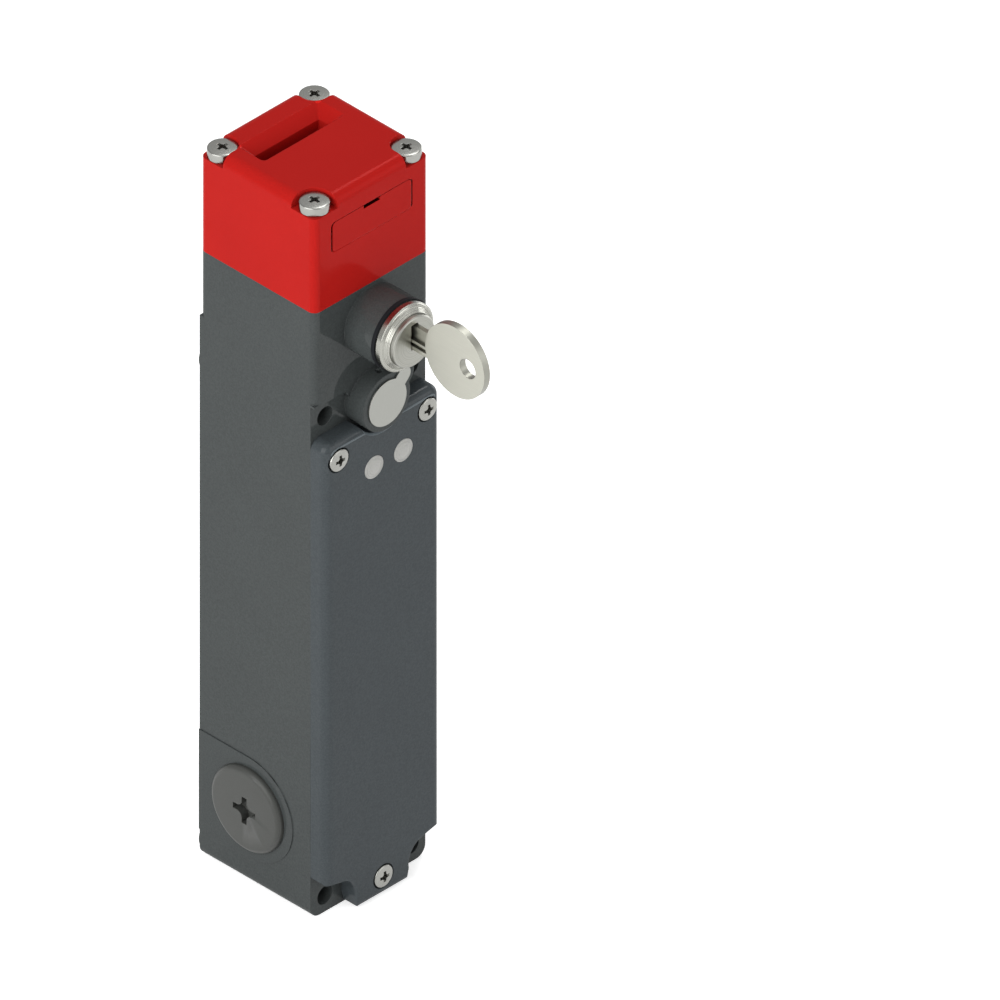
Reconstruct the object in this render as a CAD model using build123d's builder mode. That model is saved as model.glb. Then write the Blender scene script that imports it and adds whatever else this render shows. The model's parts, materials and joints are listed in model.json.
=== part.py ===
from build123d import *
from math import cos, pi, radians, sin
import os

# Guard locking switch: a cast case with a red head that takes the door's tongue, a cover held by
# three screws, a key lock and a sealed tool release. Sizes are in millimetres. The origin is the
# centre of the base, at the mouth of the bottom cable entry. +Z runs up to the head, and the
# cover, the lock and the key face -Y.

os.makedirs("parts", exist_ok=True)

# Heights along the case, built up from the fixing holes
fixing_pitch_z = 144.5
fixing_edge = 5.0
fixing_hole_radius = 2.65
lower_fixing_z = 5.0
pad_reach = 5.0
release_drop = 0.1
lock_pitch = 23.0
lock_to_top = 10.6

upper_fixing_z = lower_fixing_z + fixing_pitch_z
cover_top_z = upper_fixing_z - pad_reach
pad_top_z = upper_fixing_z + pad_reach
release_z = upper_fixing_z - release_drop
lock_z = release_z + lock_pitch
case_top_z = lock_z + lock_to_top

# Case casting
case_width = 40.0
case_depth = 40.0
fixing_pitch_x = case_width - 2 * fixing_edge
upright_radius = 2.0
base_radius = 3.2
front_round_above_pad = 0.6
back_round_above_pad = 8.7
seat_step = 1.36
pad_inner_margin = 6.8
pad_corner_radius = 1.6
back_boss_height = 0.3
side_wall = 3.0
back_wall = 3.0
base_wall = 14.0
chamber_corner_radius = 3.0
upper_bridge = 10.5
case_front_y = -case_depth / 2
case_back_y = case_depth / 2
seat_y = case_front_y + seat_step
chamber_half_x = case_width / 2 - side_wall
chamber_back_y = case_back_y - back_wall
chamber_top_z = cover_top_z - upper_bridge

# Cable entries and their plugs
entry_radius = 9.25
side_entry_y = 2.4
side_entry_z = 23.4
entry_pad_radius = 15.0
entry_pad_height = 0.3
entry_boss_radius = 12.2
entry_boss_depth = 5.0
plug_radius = 12.1
plug_height = 1.8
plug_edge_radius = 1.5
plug_shank_gap = 0.05
plug_shank_length = 7.0
plug_shank_wall = 2.2
plug_recess_span = 7.8
plug_recess_width = 1.7
plug_recess_corner = 1.7
plug_recess_depth = 2.4
plug_seal_width = 1.4
plug_seal_thickness = 0.6

# Cover
cover_thickness = 5.4
cover_edge_radius = 2.4
cover_top_radius = 3.0
cover_foot_radius = 1.5
tab_notch_radius = 5.8
tab_notch_flare = 13.0
tab_corner_radius = 1.6
tab_edge_radius = 0.8
dip_gap = 0.35
dip_chamfer = 0.45
cover_recess_depth = 3.0
cover_recess_side = 4.6
cover_recess_end = 0.2
gasket_width = 1.2
gasket_depth = 1.0
gasket_offset = 0.9
cover_screw_x = 15.4
cover_screw_drop = 5.5
cover_screw_low_z = 5.9
cover_front_y = seat_y - cover_thickness

# Screws
screw_hole_gap = 0.1
m4_radius = 2.0
head_screw_inset = 4.0
head_screw_radius = 3.9
head_screw_rim = 2.0
head_screw_dome = 0.8
head_screw_grip = 9.0
cover_screw_radius = 3.25
cover_screw_rim = 1.5
cover_screw_dome = 0.5
cover_screw_proud = 0.65
cover_screw_grip = 7.0
counterbore_gap = 0.25
recess_span = 3.9
recess_width = 1.0
recess_depth = 1.7
recess_taper = 12

# Indicator lenses
lens_radius = 3.2
lens_gap = 0.05
lens_proud = 0.35
lens_dome = 0.3
lens_groove_radius = 2.3
lens_groove_width = 0.25
lens_groove_depth = 0.15
lens_left_x = -3.3
lens_right_x = 6.9
lens_drop = 13.6
lens_z = cover_top_z - lens_drop
board_thickness = 1.2
board_drop = 3.6
board_height = 12.6
board_post_radius = 1.6
board_pin_radius = 0.8
board_pin_proud = 0.8
board_post_inset = 2.2
led_size = 3.0
led_height = 1.0

# Tool release boss and its swinging seal plate
release_boss_radius = 8.15
release_boss_reach = 6.49
release_rim = 1.6
plate_thickness = 0.45
plate_gap = 0.03
plate_neck_radius = 2.27
plate_pivot_offset = 5.65
plate_stud_radius = 1.3
plate_stud_length = 3.0
running_gap = 0.05
release_screw_radius = 4.0
release_screw_inset = 0.6
release_slot_width = 1.2
release_slot_depth = 1.6
release_ring_width = 1.6
release_ring_depth = 0.9
seal_wire_radius = 0.9
seal_wire_inset = 2.7
release_front_y = seat_y - release_boss_reach
release_disc_radius = release_boss_radius - release_rim

# Lock boss, bezel and barrel
lock_boss_radius = 9.6
lock_boss_reach = 9.4
lock_ring_radius = 9.75
lock_ring_thickness = 1.06
bezel_radius = 9.4
bezel_band = 1.7
bezel_lip = 0.45
bezel_ledge_radius = 8.5
bezel_face_radius = 7.45
bezel_face_rise = 0.95
bezel_shank_radius = 7.9
barrel_radius = 7.2
barrel_proud = 1.4
barrel_edge_radius = 0.35
barrel_tail_radius = 5.8
barrel_seat_depth = 2.1
clip_thickness = 0.8
clip_radius = 6.9
clip_groove_radius = 4.9
clip_gap = 0.08
key_slot_top = 5.4
key_slot_bottom = 2.0
key_slot_half = 1.2
lock_ring_y = case_front_y - lock_boss_reach
bezel_back_y = lock_ring_y - lock_ring_thickness
bezel_front_y = bezel_back_y - bezel_band - bezel_lip - bezel_face_rise
barrel_front_y = bezel_front_y - barrel_proud
barrel_step_y = bezel_front_y + barrel_seat_depth

# Key
key_thickness = 2.04
key_blade_top = 5.1
key_blade_bottom = 1.7
key_blade_length = 20.0
key_ledge_drop = 0.8
key_ledge_top = 1.35
key_ledge_bottom = 0.5
key_groove_bottom = -0.55
key_bow_radius = 10.3
key_bow_reach = 14.9
key_bow_rise = 2.1
key_hole_radius = 2.77
key_hole_reach = 4.5
key_cut_pitch = 3.0
key_cut_depth = 1.1
key_cuts = 5

# Release channel, slider and the eccentrics that move it
channel_half_x = 6.0
channel_front_y = -8.5
channel_back_y = 5.0
channel_floor_gap = 5.5
slider_gap = 0.1
slider_thickness = 2.3
slider_top_reach = 5.6
slider_fork_reach = 2.4
slider_finger_drop = 8.4
slider_finger_thickness = 2.0
slider_finger_reach = 3.5
eccentric_throw = 1.5
lock_pin_radius = 1.2
release_pin_radius = 1.0
pin_slot_gap = 0.4
pin_side_gap = 0.3
pin_proud = 0.3
lock_cam_radius = 5.0
lock_cam_thickness = 2.4
channel_floor_z = chamber_top_z + channel_floor_gap
slider_travel = 2 * eccentric_throw

# Locking plunger and cam drum
plunger_radius = 3.0
plunger_neck_radius = 2.5
plunger_neck_length = 3.65
plunger_travel = 3.6
collar_radius = 4.4
collar_thickness = 1.8
collar_clearance = 0.3
bush_height = 4.0
drum_radius = 9.4
drum_width = 9.6
drum_rise = 12.0
drum_turn = 55.0
drum_wall_margin = 23.0
drum_plunger_gap = 0.45
drum_pocket_radius = 2.4
drum_pocket_angle = 42.0
drum_cavity_gap = 0.8
axle_radius = 2.5
axle_bearing = 4.2
saddle_gap = 0.05
drum_z = case_top_z + drum_rise

# Head casting and its two tongue slots
head_height = 31.7
head_edge_radius = 3.0
notch_radius = 4.1
notch_depth = 3.45
slot_width = 22.3
slot_height = 3.2
slot_offset = 8.06
funnel_depth = 3.0
throat_corner_radius = 0.2
mouth_corner_radius = 1.3
tongue_pocket_gap = 0.3
tongue_pocket_foot = 3.0
cap_gap = 0.12
cap_plug_length = 5.0
cap_notch_width = 5.8
cap_notch_height = 1.0
cap_notch_depth = 2.5
head_seal_width = 1.4
head_seal_depth = 1.0
head_seal_half = 13.6
head_top_z = case_top_z + head_height
notch_z = head_top_z - notch_depth
throat_z = head_top_z - funnel_depth
throat_y = case_front_y + funnel_depth
front_slot_z = drum_z + slot_offset

# Solenoid, contact blocks and wiring inside the case
solenoid_half = 13.0
solenoid_top_gap = 4.0
solenoid_height = 40.0
solenoid_plate = 2.0
bobbin_radius = 11.2
bobbin_flange = 1.6
bobbin_core_radius = 6.4
coil_inset = 0.6
armature_radius = 5.0
armature_gap = 0.1
armature_length = 18.0
armature_drop = 5.0
pole_height = 6.0
spring_radius = 3.4
spring_wire = 0.45
spring_turns = 4
push_rod_radius = 1.2
contact_height = 32.0
contact_width = 13.0
contact_depth = 25.0
contact_gap = 1.0
contact_foot_gap = 24.0
contact_pin_radius = 1.5
contact_pin_depth = 8.0
yoke_thickness = 3.0
yoke_lift = 4.0
terminal_radius = 2.6
terminal_head = 1.6
terminal_pitch_z = 8.4
terminal_count = 3
terminal_recess_depth = 3.4
terminal_recess_size = 6.4
clamp_thickness = 0.8
clamp_size = 5.6
small_screw_radius = 1.25
small_screw_head = 2.0
small_screw_rim = 1.4
small_screw_bite = 2.2
frame_screw_x = 9.0
block_screw_rise = 2.3
earth_screw_z = 36.0
earth_screw_radius = 3.2
earth_screw_rim = 1.8


def front_plane(y):
    """A sketch plane at depth y that faces the cover side, with X right and Z up."""
    return Plane.XZ.offset(-y)


def side_plane(x, z=0):
    """A sketch plane at x that faces +X, with Y right, Z up and its centre at height z."""
    return Plane(origin=(x, 0, z), x_dir=(0, 1, 0), z_dir=(1, 0, 0))


def facing_front(x, y, z):
    """A seat for a screw whose head faces -Y."""
    return Plane(origin=(x, y, z), x_dir=(1, 0, 0), z_dir=(0, -1, 0))


def save(part, name):
    """Label a finished piece and write it to its own file."""
    part.label = name
    export_step(part, f"parts/{name}.step")


def cross_screw(head_radius, rim, dome, shank_radius, grip):
    """A cross-recess screw that stands on its seat at the origin, with its shank down."""
    edge = 0.35
    with BuildPart() as screw:
        with BuildSketch(Plane.XZ):
            with BuildLine():
                Polyline(
                    (0, rim + dome),
                    (0, -grip),
                    (shank_radius, -grip),
                    (shank_radius, 0),
                    (head_radius, 0),
                    (head_radius, rim - edge),
                    (head_radius - edge, rim),
                )
                TangentArc((0, rim + dome), (head_radius - edge, rim), tangent=(1, 0))
            make_face()
        revolve(axis=Axis.Z)
        with BuildSketch(Plane.XY.offset(rim + dome)):
            Rectangle(recess_span, recess_width)
            Rectangle(recess_width, recess_span)
        extrude(amount=-recess_depth, taper=recess_taper, mode=Mode.SUBTRACT)
    return screw.part


def slotted_screw(head_radius, rim, shank_radius, grip):
    """A flat slotted screw that stands on its seat at the origin, with its shank down."""
    slot = rim / 2
    with BuildPart() as screw:
        Cylinder(head_radius, rim, align=(Align.CENTER, Align.CENTER, Align.MIN))
        Cylinder(shank_radius, grip, align=(Align.CENTER, Align.CENTER, Align.MAX))
        with Locations((0, 0, rim)):
            Box(2 * head_radius, slot, 2 * slot, mode=Mode.SUBTRACT)
    return screw.part


def slot_profile(margin, corner_radius):
    """A tongue slot's outline in the current sketch, wider than the throat by the margin."""
    RectangleRounded(slot_width + 2 * margin, slot_height + 2 * margin, corner_radius)


# Where the inner screws stand: two behind the coil, and one at the foot of each contact block
solenoid_top_z = chamber_top_z - solenoid_top_gap
solenoid_bottom_z = solenoid_top_z - solenoid_height
contact_base_z = side_entry_z + contact_foot_gap
contact_x = (contact_width + contact_gap) / 2
frame_screw_seats = [(side * frame_screw_x, (solenoid_top_z + solenoid_bottom_z) / 2) for side in (-1, 1)]
block_screw_seats = [(side * contact_x, contact_base_z + block_screw_rise) for side in (-1, 1)]

# Case casting: a square lower length, then two stages with rounded uprights
front_round_z = pad_top_z + front_round_above_pad
back_round_z = pad_top_z + back_round_above_pad
head_screw_x = case_width / 2 - head_screw_inset
head_screw_y = case_depth / 2 - head_screw_inset
cover_screw_z = cover_top_z - cover_screw_drop
pad_inner_x = fixing_pitch_x / 2 - pad_inner_margin
pad_width = case_width / 2 - pad_inner_x
pad_height = pad_top_z - cover_top_z
fixing_holes = [
    (side * fixing_pitch_x / 2, z) for side in (-1, 1) for z in (lower_fixing_z, upper_fixing_z)
]
cover_screw_seats = [
    (-cover_screw_x, cover_screw_z),
    (cover_screw_x, cover_screw_z),
    (0, cover_screw_low_z),
]

with BuildPart() as body_casting:
    with BuildSketch():
        Rectangle(case_width, case_depth)
    extrude(amount=front_round_z)
    fillet(edges().filter_by(Axis.Y).group_by(Axis.Z)[0], base_radius)
    with BuildSketch(Plane.XY.offset(front_round_z)):
        Rectangle(case_width, case_depth)
        fillet(vertices().group_by(Axis.Y)[0], upright_radius)
    extrude(amount=back_round_z - front_round_z)
    with BuildSketch(Plane.XY.offset(back_round_z)):
        RectangleRounded(case_width, case_depth, upright_radius)
    extrude(amount=case_top_z - back_round_z)

    # The cover's seat and the two pads round the upper fixing holes
    with BuildSketch(front_plane(case_front_y)):
        with Locations((0, cover_top_z / 2)):
            Rectangle(case_width, cover_top_z)
        with Locations(
            (-pad_inner_x - pad_width / 2, upper_fixing_z), (pad_inner_x + pad_width / 2, upper_fixing_z)
        ):
            Rectangle(pad_width, pad_height)
        inner_corners = vertices().group_by(Axis.Y)[-1].sort_by(Axis.X)[1:3]
        fillet(inner_corners, pad_corner_radius)
    extrude(amount=-seat_step, mode=Mode.SUBTRACT)

    # Release boss with its lobe, and the lock boss
    with BuildSketch(front_plane(seat_y + 1)):
        with Locations((0, release_z)):
            Circle(release_boss_radius)
        with Locations((plate_pivot_offset, release_z + plate_pivot_offset)):
            Circle(plate_neck_radius + release_rim)
        with Locations(Location((plate_pivot_offset / 2, release_z + plate_pivot_offset / 2, 0), (0, 0, 45))):
            Rectangle(plate_pivot_offset * 2**0.5, 2 * (plate_neck_radius + release_rim))
    extrude(amount=release_boss_reach + 1)
    with BuildSketch(front_plane(case_front_y + 1)):
        with Locations((0, lock_z)):
            Circle(lock_boss_radius)
    extrude(amount=lock_boss_reach + 1)

    # Raised pads round the side entries, and small bosses on the mounting face
    for side in (-1, 1):
        with BuildSketch(side_plane(side * case_width / 2)):
            with Locations((side_entry_y, side_entry_z)):
                Circle(entry_pad_radius)
            with Locations(((side_entry_y + case_back_y) / 2, side_entry_z)):
                Rectangle(case_back_y - side_entry_y, 2 * entry_pad_radius)
        extrude(amount=side * entry_pad_height)
    with BuildSketch(front_plane(case_back_y)):
        with Locations(*fixing_holes):
            Circle(fixing_edge)
    extrude(amount=-back_boss_height)

    # Wiring chamber, with thicker walls round the side entries
    with BuildSketch(front_plane(seat_y)):
        with Locations((0, (base_wall + chamber_top_z) / 2)):
            RectangleRounded(2 * chamber_half_x, chamber_top_z - base_wall, chamber_corner_radius)
    extrude(amount=seat_y - chamber_back_y, mode=Mode.SUBTRACT)
    for side in (-1, 1):
        with BuildSketch(side_plane(side * chamber_half_x)):
            with Locations((side_entry_y, side_entry_z)):
                Circle(entry_boss_radius)
        extrude(amount=-side * entry_boss_depth)
    with BuildSketch(side_plane(-case_width)):
        with Locations((side_entry_y, side_entry_z)):
            Circle(entry_radius)
    extrude(amount=2 * case_width, mode=Mode.SUBTRACT)
    with BuildSketch():
        Circle(entry_radius)
    extrude(amount=base_wall, mode=Mode.SUBTRACT)

    # Release channel, open at the top, with the plunger's bore below it
    with BuildSketch(Plane.XY.offset(case_top_z)):
        with Locations((0, (channel_front_y + channel_back_y) / 2)):
            Rectangle(2 * channel_half_x, channel_back_y - channel_front_y)
    extrude(amount=channel_floor_z - case_top_z, mode=Mode.SUBTRACT)
    with BuildSketch(Plane.XY.offset(chamber_top_z - 1)):
        Circle(plunger_radius + running_gap)
    extrude(amount=channel_floor_gap + 2, mode=Mode.SUBTRACT)

    # Bores for the lock, the tool release, the seal plate's stud and the seal wire
    with BuildSketch(front_plane(lock_ring_y)):
        with Locations((0, lock_z)):
            Circle(bezel_shank_radius + running_gap)
    extrude(amount=lock_ring_y - channel_front_y - 1, mode=Mode.SUBTRACT)
    with BuildSketch(front_plane(release_front_y)):
        with Locations((0, release_z)):
            Circle(release_screw_radius + running_gap)
    extrude(amount=release_front_y - channel_front_y - 1, mode=Mode.SUBTRACT)
    with BuildSketch(front_plane(release_front_y)):
        with Locations((plate_pivot_offset, release_z + plate_pivot_offset)):
            Circle(plate_stud_radius + running_gap)
    extrude(amount=-plate_stud_length - running_gap, mode=Mode.SUBTRACT)
    with BuildSketch(Plane.XY.offset(release_z + release_boss_radius + 1)):
        with Locations((0, release_front_y + seal_wire_inset)):
            Circle(seal_wire_radius)
    extrude(amount=-release_boss_radius, mode=Mode.SUBTRACT)

    # Screw holes: fixing, head and cover
    with BuildSketch(front_plane(case_front_y)):
        with Locations(*fixing_holes):
            Circle(fixing_hole_radius)
    extrude(amount=-case_depth - back_boss_height - 1, mode=Mode.SUBTRACT)
    with BuildSketch(Plane.XY.offset(case_top_z)):
        with GridLocations(2 * head_screw_x, 2 * head_screw_y, 2, 2):
            Circle(m4_radius + running_gap)
    extrude(amount=-head_screw_grip - 1, mode=Mode.SUBTRACT)
    with BuildSketch(front_plane(seat_y)):
        with Locations(*cover_screw_seats):
            Circle(m4_radius + running_gap)
    extrude(amount=-cover_screw_grip - 1, mode=Mode.SUBTRACT)

    # Holes in the chamber's back wall for the screws of the coil's frame and the contact blocks
    with BuildSketch(front_plane(chamber_back_y)):
        with Locations(*frame_screw_seats, *block_screw_seats):
            Circle(small_screw_radius + running_gap)
    extrude(amount=-small_screw_bite - running_gap, mode=Mode.SUBTRACT)

    # Hole for the earth screw in the chamber's back wall
    with BuildSketch(front_plane(chamber_back_y)):
        with Locations((0, earth_screw_z)):
            Circle(m4_radius + running_gap)
    extrude(amount=-back_wall + 0.6, mode=Mode.SUBTRACT)
save(body_casting.part, "body_casting")

# Head casting: a block with a notch for each screw, round top edges and two tongue slots
with BuildPart() as head_casting:
    with BuildSketch(Plane.XY.offset(case_top_z)):
        Rectangle(case_width, case_depth)
    extrude(amount=head_height)
    fillet(edges().group_by(Axis.Z)[-1], head_edge_radius)
    with BuildSketch(Plane.XY.offset(case_top_z)):
        RectangleRounded(case_width, case_depth, upright_radius)
    extrude(amount=head_height, mode=Mode.INTERSECT)
    with BuildSketch(Plane.XY.offset(head_top_z)):
        for side_x in (-1, 1):
            for side_y in (-1, 1):
                with Locations((side_x * head_screw_x, side_y * head_screw_y)):
                    Circle(notch_radius)
                with Locations((side_x * (head_screw_x + notch_radius / 2), side_y * head_screw_y)):
                    Rectangle(notch_radius, 2 * notch_radius)
                with Locations((side_x * head_screw_x, side_y * (head_screw_y + notch_radius / 2))):
                    Rectangle(2 * notch_radius, notch_radius)
    extrude(amount=-notch_depth, mode=Mode.SUBTRACT)

    # Top slot, its funnel and the pocket that the tongue runs down
    with BuildSketch(Plane.XY.offset(throat_z)):
        with Locations((0, slot_offset)):
            slot_profile(0, throat_corner_radius)
    with BuildSketch(Plane.XY.offset(head_top_z)):
        with Locations((0, slot_offset)):
            slot_profile(funnel_depth, mouth_corner_radius)
    loft(mode=Mode.SUBTRACT)
    with BuildSketch(Plane.XY.offset(throat_z)):
        with Locations((0, slot_offset)):
            slot_profile(0, throat_corner_radius)
    extrude(amount=case_top_z + tongue_pocket_foot - throat_z, mode=Mode.SUBTRACT)

    # Front slot, its funnel and its pocket
    with BuildSketch(front_plane(throat_y)):
        with Locations((0, front_slot_z)):
            slot_profile(0, throat_corner_radius)
    with BuildSketch(front_plane(case_front_y)):
        with Locations((0, front_slot_z)):
            slot_profile(funnel_depth, mouth_corner_radius)
    loft(mode=Mode.SUBTRACT)
    with BuildSketch(front_plane(throat_y)):
        with Locations((0, front_slot_z)):
            slot_profile(0, throat_corner_radius)
    extrude(amount=throat_y - slot_offset - slot_height / 2, mode=Mode.SUBTRACT)

    # Cavity for the cam drum, with open-ended grooves for its axle
    with BuildSketch(side_plane(-drum_width / 2 - drum_cavity_gap)):
        with Locations((0, drum_z)):
            Circle(drum_radius + drum_cavity_gap)
        with Locations((0, (case_top_z + drum_z) / 2)):
            Rectangle(2 * (drum_radius + drum_cavity_gap), drum_z - case_top_z)
    extrude(amount=drum_width + 2 * drum_cavity_gap, mode=Mode.SUBTRACT)
    axle_half = drum_width / 2 + drum_cavity_gap + axle_bearing
    with BuildSketch(side_plane(-axle_half)):
        with Locations((0, drum_z)):
            Circle(axle_radius + saddle_gap)
        with Locations((0, (case_top_z + drum_z) / 2)):
            Rectangle(2 * (axle_radius + saddle_gap), drum_z - case_top_z)
    extrude(amount=2 * axle_half, mode=Mode.SUBTRACT)

    # Clearance holes for the long screws, and the groove for the joint's seal
    with BuildSketch(Plane.XY.offset(notch_z)):
        with GridLocations(2 * head_screw_x, 2 * head_screw_y, 2, 2):
            Circle(m4_radius + screw_hole_gap)
    extrude(amount=case_top_z - notch_z, mode=Mode.SUBTRACT)
    with BuildSketch(Plane.XY.offset(case_top_z)):
        RectangleRounded(2 * head_seal_half, 2 * head_seal_half, 2)
        RectangleRounded(
            2 * (head_seal_half - head_seal_width), 2 * (head_seal_half - head_seal_width), 1, mode=Mode.SUBTRACT
        )
    extrude(amount=head_seal_depth, mode=Mode.SUBTRACT)
save(head_casting.part, "head_casting")

with BuildPart() as head_seal:
    with BuildSketch(Plane.XY.offset(case_top_z)):
        RectangleRounded(2 * head_seal_half, 2 * head_seal_half, 2)
        RectangleRounded(
            2 * (head_seal_half - head_seal_width), 2 * (head_seal_half - head_seal_width), 1, mode=Mode.SUBTRACT
        )
    extrude(amount=head_seal_depth)
save(head_seal.part, "head_seal")

head_screw = cross_screw(
    head_screw_radius, head_screw_rim, head_screw_dome, m4_radius, notch_z - case_top_z + head_screw_grip
)
with BuildPart() as head_screws:
    with Locations(*[(x, y, notch_z) for x in (-head_screw_x, head_screw_x) for y in (-head_screw_y, head_screw_y)]):
        add(head_screw)
save(head_screws.part, "head_screws")

# Cap that closes the front slot, flush with the head's face
with BuildPart() as front_slot_cap:
    with BuildSketch(front_plane(throat_y)):
        with Locations((0, front_slot_z)):
            slot_profile(-cap_gap, throat_corner_radius)
    with BuildSketch(front_plane(case_front_y)):
        with Locations((0, front_slot_z)):
            slot_profile(funnel_depth - cap_gap, mouth_corner_radius)
    loft()
    with BuildSketch(front_plane(throat_y)):
        with Locations((0, front_slot_z)):
            slot_profile(-cap_gap, throat_corner_radius)
    extrude(amount=-cap_plug_length)
    with BuildSketch(front_plane(case_front_y)):
        with Locations((0, front_slot_z + slot_height / 2 + funnel_depth - cap_gap - cap_notch_height / 2)):
            Rectangle(cap_notch_width, cap_notch_height)
    extrude(amount=-cap_notch_depth, mode=Mode.SUBTRACT)
save(front_slot_cap.part, "front_slot_cap")

# Cam drum: the tongue turns it, and the plunger follows its spiral flank
spiral_steps = 5
with BuildPart() as cam_drum:
    with BuildSketch(side_plane(-drum_width / 2, drum_z)):
        Circle(drum_radius)
        Circle(axle_radius + running_gap, mode=Mode.SUBTRACT)
        with PolarLocations(drum_radius, 2, drum_pocket_angle, 180 - 2 * drum_pocket_angle, endpoint=True):
            Circle(drum_pocket_radius, mode=Mode.SUBTRACT)
        with BuildLine():
            spiral = Spline(
                *[
                    (
                        (drum_radius - plunger_travel * step / spiral_steps)
                        * cos(radians(270 + drum_turn * step / spiral_steps)),
                        (drum_radius - plunger_travel * step / spiral_steps)
                        * sin(radians(270 + drum_turn * step / spiral_steps)),
                    )
                    for step in range(spiral_steps + 1)
                ]
            )
            wall_angle = radians(270 + drum_turn + drum_wall_margin)
            floor_radius = drum_radius - plunger_travel
            floor = ThreePointArc(
                spiral @ 1,
                (
                    floor_radius * cos(wall_angle - radians(drum_wall_margin / 2)),
                    floor_radius * sin(wall_angle - radians(drum_wall_margin / 2)),
                ),
                (floor_radius * cos(wall_angle), floor_radius * sin(wall_angle)),
            )
            outside = 1.5 * drum_radius
            Polyline(
                floor @ 1,
                (outside * cos(wall_angle), outside * sin(wall_angle)),
                (0, -outside),
                spiral @ 0,
            )
        make_face(mode=Mode.SUBTRACT)
    extrude(amount=drum_width)
save(cam_drum.part, "cam_drum")

with BuildPart() as cam_axle:
    with BuildSketch(side_plane(-axle_half)):
        with Locations((0, drum_z)):
            Circle(axle_radius)
    extrude(amount=2 * axle_half)
    chamfer(edges().filter_by(GeomType.CIRCLE), 0.4)
save(cam_axle.part, "cam_axle")

# Saddle blocks that hold the axle up in its grooves
with BuildPart() as axle_saddles:
    for side in (-1, 1):
        with BuildSketch(side_plane(side * (axle_half - axle_bearing / 2) - axle_bearing / 2)):
            with Locations((0, (case_top_z + drum_z) / 2)):
                Rectangle(2 * axle_radius, drum_z - case_top_z)
            with Locations((0, drum_z)):
                Circle(axle_radius + saddle_gap, mode=Mode.SUBTRACT)
        extrude(amount=axle_bearing)
save(axle_saddles.part, "axle_saddles")

# Cover: a dished plate with a tab between the lower fixing holes, and a dip under the release boss.
# It is what two plates share: one with a broad edge all round, and one with the tab and a small edge.
lamp_back_y = seat_y - cover_recess_depth + led_height
board_x = (lens_left_x + lens_right_x) / 2
board_z = lens_z - board_drop
board_width = lens_right_x - lens_left_x + 4 * lens_radius
board_posts = [
    (board_x - board_width / 2 + board_post_inset, board_z - board_height / 2 + board_post_inset),
    (board_x + board_width / 2 - board_post_inset, board_z - board_height / 2 + board_post_inset),
]
gasket_half_x = case_width / 2 - gasket_offset
gasket_low_z = base_wall - gasket_width - 0.6
gasket_high_z = chamber_top_z + gasket_width + 0.6
flare_x = cos(radians(tab_notch_flare))
flare_z = sin(radians(tab_notch_flare))
flare_reach = case_width / 2
with BuildPart() as cover_blank:
    with BuildSketch(front_plane(seat_y)):
        with Locations((0, cover_top_z / 2)):
            Rectangle(case_width, cover_top_z)
        fillet(vertices().group_by(Axis.Y)[-1], cover_top_radius)
    extrude(amount=cover_thickness)
    fillet(faces().sort_by(Axis.Y)[0].edges(), cover_edge_radius)

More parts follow.
